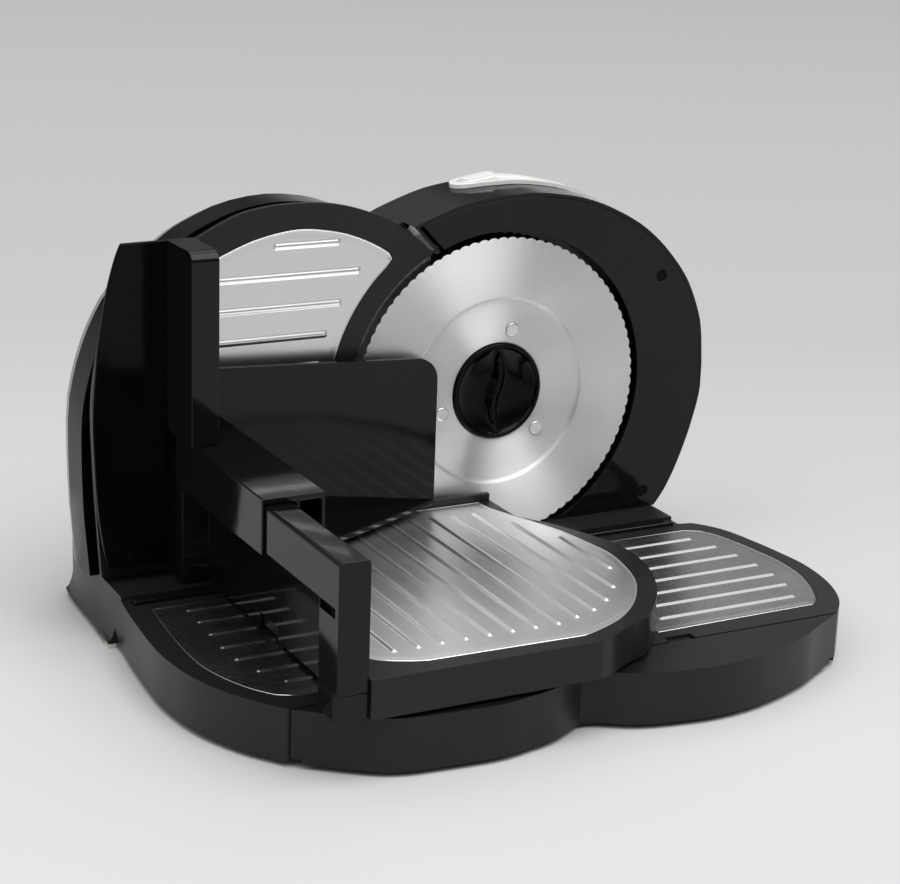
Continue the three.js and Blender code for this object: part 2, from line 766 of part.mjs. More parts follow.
// Switch trim: a teardrop ring that follows the housing's top, open round the button
const trimRise = 2.6;
const trimFrom = 28;
const trimLength = 23;
const trimShares = [
  [-0.3, 0.5], [-0.285, 0.72], [-0.23, 0.9], [-0.12, 0.99], [0.05, 0.98], [0.25, 0.88], [0.5, 0.7],
  [0.8, 0.48], [0.84, 0.38], [0.8, 0.28], [0.5, 0.12], [0.25, 0.04], [0.05, 0.005], [-0.12, 0.03],
  [-0.23, 0.12], [-0.285, 0.28], [-0.3, 0.5],
];
const trimHollowShares = [
  [-0.25, 0.5], [-0.235, 0.69], [-0.18, 0.82], [-0.1, 0.87], [0.05, 0.86], [0.25, 0.75], [0.48, 0.56],
  [0.64, 0.41], [0.48, 0.27], [0.25, 0.17], [0.05, 0.13], [-0.1, 0.15], [-0.18, 0.2], [-0.235, 0.33],
  [-0.25, 0.5],
];
const trimReach = 104.7;
const trimX = 15;
const trimSink = 1.1;
const trimPrism = (shares, steps) => (
  prism(smooth(placed(shares, trimReach, trimLength), steps).slice(0, -1), 0, housingTop * 2)
    .translate([trimX, trimFrom, 0])
);
const trimLayer = (outside, inside) => cut(
  slab(inset(housingOutline, -outside), trimFrom, trimFrom + trimLength),
  slab(inset(housingOutline, -inside), trimFrom - over, trimFrom + trimLength + over),
);
const trim = cut(
  trimLayer(trimRise, seat).intersect(trimPrism(trimShares, 32)),
  trimLayer(trimRise + over, trimRise - trimSink).intersect(trimPrism(trimHollowShares, 28)),
  onShoulder(prism(buttonRing, -wellDepth, buttonRise * 2)),
);
piece(upper, 'switch_trim', trim, whiteGloss);

const button = new THREE.Group();
button.position.set(buttonX, buttonY, buttonFoot);
button.rotation.y = THREE.MathUtils.degToRad(-buttonTiltAngle);
upper.add(button);
const buttonSolid = union(
  prism(oval(buttonLong, buttonWide, buttonStepCount), -buttonWall, buttonRise - buttonWall / 2),
  prism(oval(buttonLong - buttonWall, buttonWide - buttonWall, buttonStepCount), 0, buttonRise),
  barZ(buttonStemRadius, -wellDepth * 2, 0, 0, 0, 12),
);
piece(button, 'power_button', buttonSolid, whiteGloss);
const switchReach = buttonLong / 2 + slip * 3 + switchEar;
const switchTop = -wellDepth * 2 - buttonTravel - slip;
const switchBody = onShoulder(union(
  box([-switchReach, switchReach], [-switchWide / 2, switchWide / 2], [switchTop - switchTall, switchTop]),
  ...[-switchReach, switchReach - switchEar].map((x) => box(
    [x, x + switchEar],
    [-switchWide / 2, switchWide / 2],
    [switchTop - over, buttonRise],
  )),
)).intersect(slab(inset(housingOutline, housingWall + seat), housingFront, housingDepth));
piece(upper, 'switch_body', switchBody, nylon);

// Axle, motor mount, motor and worm
const axleFrom = knobDepth + knobStemLength + slip * 2;
piece(upper, 'blade_axle', barY(axleRadius, axleFrom, mountFront - seat, 0, 0, 20), steel);
const mountBoss = 12;
const mountBossLength = 12;
const mountMargin = 8;
const cradleWidth = 7;
const mountPlate = cut(
  union(
    box(
      [mountPosts[0].x - mountMargin, mountPosts[1].x + mountMargin],
      [mountFront, mountFront + mountSheet],
      [mountPosts[1].y - mountMargin, mountPosts[2].y + mountMargin],
    ),
    ...[canFrom + cradleWidth, canTo - cradleWidth * 2].map((x) => box(
      [x, x + cradleWidth],
      [wormY + canRadius + seat, mountFront + over],
      [wormZ - cradleWidth, wormZ + cradleWidth],
    )),
    box(
      [-wormHalf - cradleWidth - over, -wormHalf - over],
      [wormY - shaftRadius * 3, mountFront + over],
      [wormZ - cradleWidth, wormZ + cradleWidth],
    ),
  ),
  barX(shaftRadius + seat, -wormHalf - cradleWidth * 2, -wormHalf, wormY, wormZ, 16),
);
piece(upper, 'motor_mount', mountPlate, sheetGrey);
const statorSolid = cut(
  barX(canRadius, canFrom, canTo, wormY, wormZ, 28),
  barX(statorBore, canFrom + canWall, canTo - canWall, wormY, wormZ, 24),
  barX(shaftRadius + seat, canFrom - over, canTo + over, wormY, wormZ, 12),
);
piece(upper, 'motor_can', statorSolid, darkSteel);
const armature = union(
  barX(shaftRadius, -wormHalf - cradleWidth, canTo + canWall, 0, 0, 12),
  barX(rotorRadius, canFrom + rotorInset, canTo - rotorInset, 0, 0, 20),
  barX(wormRadius, -wormHalf, wormHalf, 0, 0, 20),
);
motorGroup.position.set(0, wormY, wormZ);
piece(motorGroup, 'motor_armature', armature, brass);

// Blade with scalloped rim
const toothShares = [1, 0.15, 0.15];
const rim = [];
for (let i = 0; i < toothCount * toothShares.length; i++) {
  const angle = (2 * Math.PI * i) / (toothCount * toothShares.length);
  const radius = bladeRadius - toothDepth * toothShares[i % toothShares.length];
  rim.push(at(radius * Math.cos(angle), radius * Math.sin(angle)));
}
const boreRadius = knobRadius + slip;
const innerEdge = groundRadius + (bladeRadius - groundRadius) / 2;
const bladeBody = turned([
  [boreRadius, bladeDish], [dishRadius - dishSlope, bladeDish], [dishRadius, 0], [groundRadius, 0],
  [innerEdge, groundDrop], [innerEdge, bladeSheet], [dishRadius + over, bladeSheet],
  [dishRadius - dishSlope + over, bladeDish + bladeSheet], [boreRadius, bladeDish + bladeSheet],
], 60);
const rimRing = cut(
  slab(rim, groundDrop, groundDrop + edgeSheet),
  barY(innerEdge - over, -over, housingDepth, 0, 0, 36),
);
const rivetPlaces = [0, 1, 2].map((i) => {
  const angle = THREE.MathUtils.degToRad(rivetAngle + i * 120);
  return at(rivetCircle * Math.cos(angle), rivetCircle * Math.sin(angle));
});
const rivetHoles = rivetPlaces.map((p) => barY(rivetShank + seat, -over, gearBack, p.x, p.y, 12));
piece(bladeGroup, 'blade', cut(union(bladeBody, rimRing), ...rivetHoles), steel);

// Moulded gear riveted to the blade
const flangeFront = bladeDish + bladeSheet + seat;
const cupRadius = knobRadius + slip;
const cupFloor = knobDepth + slip;
const cupBack = cupFloor + flangeSheet;
const stemSocket = cupFloor + knobStemLength + slip;
const gearBody = turned([
  [cupRadius, flangeFront], [flangeRadius, flangeFront], [flangeRadius, flangeFront + flangeSheet],
  [cupRadius + cupWall, flangeFront + flangeSheet], [cupRadius + cupWall, cupBack],
  [gearHub, cupBack + flangeSheet], [gearHub, gearBack - gearWidth / 2], [gearHub, gearBack],
  [axleRadius + seat, gearBack], [axleRadius + seat, stemSocket], [knobStem + seat, stemSocket],
  [knobStem + seat, cupFloor], [cupRadius, cupFloor],
], 36);
const gearRoot = gearRadius - gearTooth;
const gearSteps = [gearRadius, gearRadius, gearRoot, gearRoot];
const toothProfile = [];
for (let i = 0; i < gearTeeth * gearSteps.length; i++) {
  const angle = (2 * Math.PI * i) / (gearTeeth * gearSteps.length);
  const radius = gearSteps[i % gearSteps.length];
  toothProfile.push(at(radius * Math.cos(angle), radius * Math.sin(angle)));
}
const gearRing = cut(
  slab(toothProfile, gearBack - gearWidth, gearBack),
  barY(gearHub - over, 0, gearBack + over, 0, 0, 24),
);
const ringHoleBack = gearBack - gearWidth * 2;
const ringHoles = rivetPlaces.map((p) => barY(rivetShank + seat, -over, ringHoleBack, p.x, p.y, 12));
piece(bladeGroup, 'blade_gear', cut(union(gearBody, gearRing), ...ringHoles), nylon);
const rivetBack = flangeFront + flangeSheet + seat;
const rivetTail = 1;
const rivetSeat = bladeDish - seat;
const rivetSolid = turned([
  [0, rivetSeat - rivetHeadRise], [rivetHead - rivetTail, rivetSeat - rivetHeadRise],
  [rivetHead, rivetSeat - rivetHeadRise / 2], [rivetHead, rivetSeat], [rivetShank, rivetSeat],
  [rivetShank, rivetBack], [rivetHead - rivetTail, rivetBack], [rivetHead - rivetTail, rivetBack + rivetTail],
  [0, rivetBack + rivetTail],
], 12);
rivetPlaces.forEach((p, i) => piece(bladeGroup, `blade_rivet_${i + 1}`, rivetSolid, steel, p.x, 0, p.y));

// Knob: a rimmed cup with an S-shaped ridge across it, and a stem into the gear
const knobCup = turned([
  [0, knobHollow], [knobRadius - knobRim - over, knobHollow], [knobRadius - knobRim, knobRound],
  [knobRadius - knobRim + knobRound, 0], [knobRadius - knobRound, 0], [knobRadius, knobRound],
  [knobRadius, knobDepth], [knobStem, knobDepth], [knobStem, knobDepth + knobStemLength],
  [0, knobDepth + knobStemLength],
], 36);
const ridgeShares = [-1, -0.75, -0.5, -0.25, 0, 0.25, 0.5, 0.75, 1];
const ridgeReach = knobRadius - knobRim - over / 2;
const ridgeSide = (side) => ridgeShares.map((t) => at(
  ridgeSway * Math.sin(Math.PI * t) + (side * ridgeWidth * (1 - Math.abs(t) / 2)) / 2,
  t * ridgeReach,
));
const ridge = slab([...ridgeSide(1), ...ridgeSide(-1).reverse()], ridgeDrop, knobHollow + over);
piece(knobGroup, 'centre_knob', union(knobCup, ridge), blackGloss);

// Gauge plate: outer edge as shares of its reach and top, from the blade's side round to the foot
const gaugeShares = [
  [-0.168, 0.689], [-0.222, 0.796], [-0.288, 0.885], [-0.336, 0.93], [-0.384, 0.963], [-0.43, 0.985],
  [-0.477, 0.997], [-0.523, 1], [-0.569, 0.997], [-0.614, 0.986], [-0.659, 0.966], [-0.707, 0.924],
  [-0.754, 0.875], [-0.8, 0.829], [-0.85, 0.771], [-0.9, 0.695], [-0.94, 0.605], [-0.966, 0.505],
  [-0.984, 0.38], [-0.996, 0.23], [-1, 0.08], [-0.998, -0.1], [-0.994, -0.3], [-0.99, -0.437],
];
const gaugeFoot = deckLevel + gaugeFootGap;
const gaugeEdge = bladeRadius + gaugeClear;
const gaugeFootShare = 0.982;
const gaugeCurve = smooth(placed(gaugeShares, gaugeReach, gaugeTop), 34);
const gaugeOutline = [
  ...gaugeCurve,
  at(-gaugeFootShare * gaugeReach, gaugeFoot),
  at(gaugeCurve[0].x, gaugeFoot),
];
const gaugeInlayShares = [
  [-0.745, 0.743], [-0.702, 0.782], [-0.627, 0.842], [-0.548, 0.876], [-0.511, 0.881], [-0.475, 0.876],
  [-0.399, 0.845], [-0.336, 0.793], [-0.29, 0.737], [-0.282, 0.706], [-0.289, 0.67],
];
const insertEdge = 112;
const insertFootShare = 0.3;
const insertLeftShare = 0.745;
const insertFootZ = -insertFootShare * gaugeTop;
const insertFrom = 180 - THREE.MathUtils.radToDeg(Math.asin(insertFootZ / insertEdge));
const insertTopZ = gaugeInlayShares.at(-1)[1] * gaugeTop;
const insertTo = 180 - THREE.MathUtils.radToDeg(Math.asin(insertTopZ / insertEdge));
const insertOutline = [
  at(-insertLeftShare * gaugeReach, insertFootZ),
  ...arc(insertEdge, insertFrom, insertTo, 14),
  ...placed(gaugeInlayShares, gaugeReach, gaugeTop).reverse().slice(1),
];
const gaugePlate = cut(
  slab(gaugeOutline, 0, gaugeSheet),
  slab(insertOutline, -over, gaugePocket),
  barY(gaugeEdge, -over, gaugeSheet + over, 0, 0, 108),
);
piece(gaugeGroup, 'gauge_plate', gaugePlate, blackGloss);
const gaugeRibShares = [
  [-0.577, -0.414, 0.805], [-0.72, -0.363, 0.663], [-0.72, -0.409, 0.516], [-0.72, -0.444, 0.371],
  [-0.72, -0.46, 0.226], [-0.72, -0.47, 0.08], [-0.72, -0.47, -0.065],
];
const gaugeRibs = gaugeRibShares.map(([from, to, z]) => rib((to - from) * gaugeReach, ribWidth, ribHeight)
  .rotate([180, 0, 0])
  .translate([from * gaugeReach, gaugePocket - seat - inlaySheet / 2, z * gaugeTop]));
const gaugeInlay = union(
  slab(inset(insertOutline, seat), gaugePocket - seat - inlaySheet, gaugePocket - seat),
  ...gaugeRibs,
);
piece(gaugeGroup, 'gauge_inlay', gaugeInlay, steel);

// Steel strip behind the plate's hollow edge
const stripFromAngle = 119;
const stripToAngle = 168;
const stripOutline = [
  ...arc(gaugeEdge + stripOverlap, stripFromAngle, stripToAngle, 16),
  ...arc(stripRadius, stripToAngle, stripFromAngle, 16),
];
const strip = slab(stripOutline, gaugeSheet + seat, gaugeSheet + seat + stripSheet);
piece(gaugeGroup, 'gauge_strip', strip, darkSteel);

// Guide rods, follower and thickness dial
const rodRadius = 4;
const rodLength = 42;
const bushRadius = 8;
const bushFlange = 11;
const bushFlangeSheet = 2.3;
const bushLength = 14;
const rodShares = [[-0.68, 0.58], [-0.68, -0.42]];
const rodPlaces = rodShares.map(([a, b]) => at(a * domeReach, b * domeTop));
const rodFrom = gaugeSheet + seat;
const rod = barY(rodRadius, rodFrom, rodFrom + rodLength, 0, 0, 16);
rodPlaces.forEach((p, i) => piece(gaugeGroup, `gauge_rod_${i + 1}`, rod, steel, p.x, 0, p.y));
const dialShaft = 3;
const followerRadius = 7;
const followerLength = 28;
const dialShares = [-0.7, 0.05];
const dialPlace = at(dialShares[0] * domeReach, dialShares[1] * domeTop);
const follower = cut(
  barY(followerRadius, rodFrom, rodFrom + followerLength, 0, 0, 16),
  barY(dialShaft + seat, rodFrom + over, rodFrom + followerLength + over, 0, 0, 12),
);
piece(gaugeGroup, 'gauge_follower', follower, nylon, dialPlace.x, 0, dialPlace.y);

// Left housing: a dome drawn in towards the back, hollow, standing on the deck
const domeShares = [
  [-0.994, -0.433], [-1, -0.2], [-0.997, 0.05], [-0.976, 0.21], [-0.946, 0.344], [-0.908, 0.464],
  [-0.857, 0.579], [-0.779, 0.699], [-0.69, 0.792], [-0.619, 0.861], [-0.56, 0.903], [-0.451, 0.962],
  [-0.338, 0.993], [-0.223, 1], [-0.105, 0.979], [-0.045, 0.956],
];
const domeFootShare = 0.976;
const domeShoulderShare = 0.93;
const domeWidth = domeReach - domeRight;
const domeStand = deckLevel + seat;
const domeCurve = smooth(placed(domeShares, domeWidth, domeTop), 26);
const domeOutline = [
  at(-domeRight - domeFootShare * domeWidth, domeStand),
  ...domeCurve.map((p) => at(p.x - domeRight, p.y)),
  at(-domeRight, domeShoulderShare * domeTop),
  at(-domeRight, domeStand),
];
const domeAnchor = at(-domeRight, domeStand);
const domeBackShares = [[0, 1], [0.5, 1], [0.78, 0.98], [0.94, 0.935], [1, 0.87]];
const domeSkin = domeBackShares.map(([a, share]) => (
  { y: domeFront + a * domeDepth, points: drawn(domeOutline, domeAnchor, share) }
));
const domeCore = domeBackShares.map(([a, share]) => ({
  y: domeFront + domeWall + a * (domeDepth - domeWall * 2),
  points: inset(drawn(domeOutline, domeAnchor, share), domeWall),
}));
const domeFloorInset = 8;
const domeFloor = box(
  [-domeReach + domeFloorInset, -domeRight - domeWall],
  [domeFront + domeWall, domeFront + domeDepth / 2],
  [domeStand - over, domeStand + domeWall + over],
);
const domeFace = domeFront + domeWall + over;
const domeBack = domeFront + domeDepth;
const dome = cut(
  loft(domeSkin),
  loft(domeCore),
  domeFloor,
  ...rodPlaces.map((p) => barY(bushRadius + seat, domeFront - over, domeFace, p.x, p.y, 16)),
  barY(followerRadius + slip, domeFront - over, domeFace, dialPlace.x, dialPlace.y, 16),
  barY(dialShaft + slip, domeBack - domeDepth / 2, domeBack + over, dialPlace.x, dialPlace.y, 16),
);
piece(upper, 'left_housing', dome, blackGloss);
const bushBack = domeFront + domeWall + seat;
const bushSolid = turned([
  [rodRadius + seat, domeFront + seat], [bushRadius, domeFront + seat],
  [bushRadius, bushBack], [bushFlange, bushBack],
  [bushFlange, bushBack + bushFlangeSheet], [bushRadius, bushBack + bushFlangeSheet],
  [bushRadius, bushBack + bushLength], [rodRadius + seat, bushBack + bushLength],
], 16);
rodPlaces.forEach((p, i) => piece(upper, `rod_bush_${i + 1}`, bushSolid, brass, p.x, 0, p.y));

const dial = new THREE.Group();
dial.position.set(dialPlace.x, 0, dialPlace.y);
upper.add(dial);
const dialRadius = 19;
const dialHeight = 14;
const dialGrip = 1.4;
const dialTeeth = 18;
const shaftFrontShare = 0.2;
const dialBack = domeBack + slip;
const grips = [];
for (let i = 0; i < dialTeeth * 2; i++) {
  const angle = (Math.PI * i) / dialTeeth;
  const radius = i % 2 ? dialRadius : dialRadius - dialGrip;
  grips.push(at(radius * Math.cos(angle), radius * Math.sin(angle)));
}
const dialSolid = union(
  slab(grips, dialBack, dialBack + dialHeight),
  barY(dialShaft, domeFront + shaftFrontShare * domeDepth, dialBack + over, 0, 0, 12),
);
piece(dial, 'thickness_dial', dialSolid, blackSatin);

// Carriage: plan outline from its left rear corner along the front to the right rear corner
const carriageStand = deckTop + seat;
const carriageShares = [
  [-2.4, -1], [-2, -0.983], [-1.44, -0.945], [-0.86, -0.917], [-0.48, -0.878], [0.2, -0.782],
  [0.6, -0.699], [0.86, -0.62], [0.98, -0.55], [1, -0.5], [0.92, -0.435], [0.76, -0.385],
  [0.56, -0.328], [0.22, -0.253], [-0.04, -0.208], [-0.25, -0.165], [-0.28, -0.1],
];
const frameLeft = -carriageLeft;
const stubBack = -armFront + postDepth;
const trayLeft = frameLeft + carriageWall + seat;
const carriageCurve = smooth(placed(carriageShares, carriageRight, carriageDepth), 36);
const carriageFrontY = carriageCurve[0].y;
const carriageOutline = [
  at(trayLeft, -carriageBack),
  at(trayLeft, stubBack - seat),
  at(-armRight + seat, stubBack - seat),
  at(-armRight + seat, carriageFrontY),
  ...carriageCurve,
  at(carriageCurve.at(-1).x, -carriageBack),
];
const carriageInlayShares = [
  [-7.17, -0.9], [-6.2, -0.947], [-2.6, -0.956], [-1.96, -0.931], [-1.34, -0.895], [-0.7, -0.834],
  [-0.2, -0.764], [0.16, -0.694], [0.4, -0.607], [0.53, -0.505], [0.44, -0.422], [0.25, -0.308],
  [-0.06, -0.21], [-0.36, -0.134], [-0.53, -0.087], [-0.6, -0.034], [-7.5, -0.034], [-7.5, -0.08],
  [-7.5, -0.86],
];
const carriageInlay = placed(carriageInlayShares, carriageRight, carriageDepth);
const ribLaneCount = 13;
const ribLaneFirstShare = -0.854;
const ribLanePitch = 13.8;
const ribFrontShares = [
  -0.875, -0.875, -0.875, -0.875, -0.875, -0.875, -0.875, -0.875, -0.856, -0.832, -0.788, -0.72, -0.605,
];
const ribBackShares = [
  -0.1, -0.1, -0.1, -0.1, -0.1, -0.1, -0.1, -0.1, -0.1, -0.111, -0.111, -0.212, -0.354,
];
const carriageRibs = ribFrontShares.slice(0, ribLaneCount).map((front, i) => ({
  x: ribLaneFirstShare * carriageLeft + i * ribLanePitch,
  y: front * carriageDepth,
  length: (ribBackShares[i] - front) * carriageDepth,
  turn: 90,
}));
const lipFront = -carriageBack - lipThickness;
const lip = box(
  [trayLeft, carriageCurve.at(-1).x],
  [lipFront, -carriageBack],
  [carriageTop - over, carriageTop + lipRise],
);
const carriageShell = cut(
  union(prism(carriageOutline, carriageStand, carriageTop), lip),
  prism(inset(carriageOutline, carriageWall), carriageStand - over, carriageTop - carriageSheet),
  prism(carriageInlay, carriageTop - inlayPocket, carriageTop + lipRise + over)
    .intersect(box([-baseLeft, baseRight], [-baseLeft, lipFront - seat], [0, armTop])),
);
piece(carriage, 'carriage_tray', carriageShell, blackGloss);
const carriageSheetPlate = ribbedInlay(carriageInlay, carriageRibs)
  .intersect(box([-baseLeft, baseRight], [-baseLeft, lipFront - seat * 2], [-armTop, armTop]));
piece(carriage, 'carriage_inlay', carriageSheetPlate, steel, 0, 0, carriageTop - inlayPocket + seat);

// Side frame of the carriage: the low wall with its window, the front stub and the rear post
const windowShares = [-0.51, -0.4];
const windowHeight = 8;
const frameTop = armTop - armHeight - seat;
const sideFrame = cut(
  union(
    box([frameLeft, frameLeft + carriageWall], [stubBack, -armBack - over], [carriageStand, frameTop]),
    box([-armLeft, -armRight], [-armFront, stubBack - seat], [carriageStand, legBottom - seat]),
    box([frameLeft, -armRight], [stubBack - over, stubBack + over], [carriageStand, legBottom - seat]),
    box([-armLeft, -armRight], [-armBack - rearPostDepth, -armBack], [carriageStand, frameTop]),
  ),
  box(
    [frameLeft - over, frameLeft + carriageWall + over],
    windowShares.map((share) => share * carriageDepth),
    [carriageStand - over, carriageStand + windowHeight],
  ),
);
piece(carriage, 'carriage_frame', sideFrame, blackGloss);

// Top rail that the pusher rides on, with its leg at the front
const railProfile = [
  at(-armLeft, armTop - armHeight), at(-armRight, armTop - armHeight),
  ...arc(armEdge, 0, 90, 3, -armRight - armEdge, armTop - armEdge),
  ...arc(armEdge, 90, 180, 3, -armLeft + armEdge, armTop - armEdge),
];
const legSlotHeight = 5;
const legSlotDepth = 3;
const legSlotLength = 18;
const topRail = cut(
  union(
    slab(railProfile, -armFront, -armBack),
    box([-armLeft, -armRight], [-armFront, stubBack - seat], [legBottom, armTop - armHeight + over]),
  ),
  box(
    [-armLeft - over, -armLeft + legSlotDepth],
    [-armFront + armBack, -armFront + armBack + legSlotLength],
    [armTop - armHeight - legSlotHeight, armTop - armHeight],
  ),
);
piece(carriage, 'pusher_rail', topRail, blackGloss);

// Shoes that straddle the guide rail under the carriage
const shoeLength = 25;
const shoeShares = [-0.93, -0.23];
const shoeClear = 1;
const shoeBottom = rimTop + inlaySheet;
shoeShares.forEach((share, i) => {
  const x = share * carriageLeft;
  const shoe = cut(
    box(
      [x, x + shoeLength],
      [-deckFront - railGroove + slip, -deckFront + railWidth + railGroove - slip],
      [shoeBottom, carriageTop - carriageSheet - seat],
    ),
    box(
      [x - over, x + shoeLength + over],
      [-deckFront - slip, -deckFront + railWidth + slip],
      [shoeBottom - over, deckTop + slip],
    ),
  );
  piece(carriage, `slide_shoe_${i + 1}`, shoe, nylon);
});

// Pusher: saddle block over the rail
const saddleTop = armTop + seat * 2;
const webFrom = -armRight + seat;
const blockBottom = plateBottom - over / 2;
const blockRun = [-blockFront, -plateFront - seat];
const block = union(
  box([-blockLeft, -blockRight], blockRun, [saddleTop, blockTop]),
  box([-blockLeft, -armLeft - seat], blockRun, [frameTop - blockSkirtDrop, blockTop]),
  box([webFrom, webFrom + blockWeb], blockRun, [frameTop + over, blockTop]),
  box([-blockRight - blockWeb, -blockRight], blockRun, [blockBottom, blockTop]),
);
piece(pusher, 'pusher_block', block, blackGloss);

// Upright hand grip with a rounded front top edge
const gripShares = [
  [0, 0], [0, 0.945], [0.02, 0.971], [0.06, 0.988], [0.12, 0.997], [0.19, 1], [1, 1], [1, 0],
];
const gripBottom = blockTop + seat;
const gripBack = shieldBack + shieldSheet + seat;
const gripProfile = gripShares.map(([a, b]) => (
  at(-gripFront + a * (gripFront - gripBack), gripBottom + b * (gripTop - gripBottom))
));
const gripSolid = solid(
  extruded(gripProfile, gripLeft - gripRight)
    .rotateX(Math.PI / 2)
    .rotateZ(Math.PI / 2)
    .translate(-gripLeft, 0, 0),
);
piece(pusher, 'hand_grip', gripSolid, blackGloss);

// Finger shield left of the grip: outline as shares of its reach and height
const shieldShares = [
  [-0.822, 0], [-0.911, 0.12], [-0.964, 0.24], [-0.988, 0.36], [-1, 0.445], [-0.988, 0.53],
  [-0.929, 0.68], [-0.858, 0.78], [-0.787, 0.87], [-0.674, 0.96], [-0.603, 0.998],
];
const shieldHeight = shieldTop - shieldBottom;
const shieldCurve = smooth(placed(shieldShares, shieldWidth, shieldHeight), 18);
const shieldOutline = [
  ...shieldCurve.map((p) => at(p.x - gripLeft, p.y + shieldBottom)),
  at(-gripRight, shieldTop),
  at(-gripRight, gripBottom),
  at(-blockLeft - seat * 2, gripBottom),
  at(-blockLeft - seat * 2, shieldBottom),
];
piece(pusher, 'finger_shield', slab(shieldOutline, -shieldBack - shieldSheet, -shieldBack), blackGloss);

// Pusher plate with a rounded upper corner, and the brace under it
const plateSlopeShare = 0.956;
const plateOutline = [
  at(-plateLeft, plateBottom), at(-plateRight, plateBottom),
  ...arc(plateCorner, 0, 90, 5, -plateRight - plateCorner, plateTop * plateSlopeShare - plateCorner),
  at(-gripRight + seat, plateTop), at(-gripRight + seat, gripBottom), at(-plateLeft, gripBottom),
];
piece(pusher, 'pusher_plate', slab(plateOutline, -plateFront, -plateFront + plateSheet), blackGloss);
const braceShares = [[-0.272, 0], [-0.483, -0.33], [-0.65, -0.58], [-1, -1], [-1, 0]];
const braceOutline = placed(braceShares, blockRight - seat, braceReach)
  .map((p) => at(p.x, p.y - plateFront - seat));
piece(pusher, 'pusher_brace', prism(braceOutline, plateBottom, plateBottom + braceSheet), blackGloss);

// The origin is the middle of the footprint, on the table
const bounds = new THREE.Box3().setFromObject(machine);
const middle = bounds.getCenter(new THREE.Vector3());
machine.position.set(-middle.x, -middle.y, -bounds.min.z);

export default machine;
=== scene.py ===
import json
import math

import bmesh
import bpy
from mathutils import Matrix, Vector
from mathutils.geometry import tessellate_polygon


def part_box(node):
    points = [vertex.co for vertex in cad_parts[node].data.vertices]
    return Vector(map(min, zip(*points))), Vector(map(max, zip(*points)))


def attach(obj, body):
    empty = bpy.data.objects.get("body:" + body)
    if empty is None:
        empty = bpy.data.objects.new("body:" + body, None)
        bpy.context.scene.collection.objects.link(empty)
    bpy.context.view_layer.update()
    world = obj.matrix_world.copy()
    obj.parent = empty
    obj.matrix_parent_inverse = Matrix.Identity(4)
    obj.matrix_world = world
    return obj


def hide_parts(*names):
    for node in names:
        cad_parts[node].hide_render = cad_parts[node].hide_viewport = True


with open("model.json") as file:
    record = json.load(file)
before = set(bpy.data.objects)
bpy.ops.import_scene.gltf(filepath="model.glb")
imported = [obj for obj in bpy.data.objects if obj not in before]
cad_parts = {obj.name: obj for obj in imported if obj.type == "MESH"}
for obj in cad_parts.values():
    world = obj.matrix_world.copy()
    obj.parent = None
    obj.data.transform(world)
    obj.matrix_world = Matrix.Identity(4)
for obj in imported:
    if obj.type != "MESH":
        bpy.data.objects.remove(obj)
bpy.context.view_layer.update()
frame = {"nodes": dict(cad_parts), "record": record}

nodes = frame["nodes"]
body_of_node = {n: b for b, ns in frame["record"]["behaviour"]["bodies"].items() for n in ns}
slot_of_node = {s["node"]: s["material_slot"] for s in frame["record"]["subparts"]}

scene = bpy.context.scene
scene.view_settings.view_transform = "Standard"

MM = 0.001
BLADE = Vector((0.055517, 0.073967, 0.123))  # the blade's centre in the shared frame


# Camera, as solved from the photograph

CAMERA_PLACE = (-0.59827, -1.09353, 0.50760)
CAMERA_HEADING = -28.05  # degrees from +Y, anticlockwise
CAMERA_TILT = 17.34  # degrees downwards
CAMERA_ROLL = 1.98  # degrees anticlockwise
CAMERA_LENS = 92.0  # millimetres
CAMERA_SENSOR = 36  # millimetres across the picture
CAMERA_CLIP_END = 50  # metres


def make_camera():
    heading, tilt, roll = (math.radians(v) for v in (CAMERA_HEADING, CAMERA_TILT, CAMERA_ROLL))
    level = math.cos(tilt)
    ahead = Vector((-math.sin(heading) * level, math.cos(heading) * level, -math.sin(tilt)))
    right = Vector((math.cos(heading), math.sin(heading), 0))
    up = right.cross(ahead)
    x = right * math.cos(roll) + up * math.sin(roll)
    y = up * math.cos(roll) - right * math.sin(roll)
    turn = Matrix((x, y, -ahead)).transposed()
    cam = bpy.data.cameras.new("camera")
    cam.sensor_fit = "HORIZONTAL"
    cam.sensor_width = CAMERA_SENSOR
    cam.lens = CAMERA_LENS
    cam.clip_end = CAMERA_CLIP_END
    obj = bpy.data.objects.new("camera", cam)
    obj.matrix_world = Matrix.Translation(CAMERA_PLACE) @ turn.to_4x4()
    scene.collection.objects.link(obj)
    scene.camera = obj


make_camera()


# Materials

def shade(value, warm=0.0):
    return (value * (1 + warm), value, value * (1 - warm), 1)


def opaque(colour, factor=1.0, more=0.0):
    return tuple(c * factor + more for c in colour) + (1,)


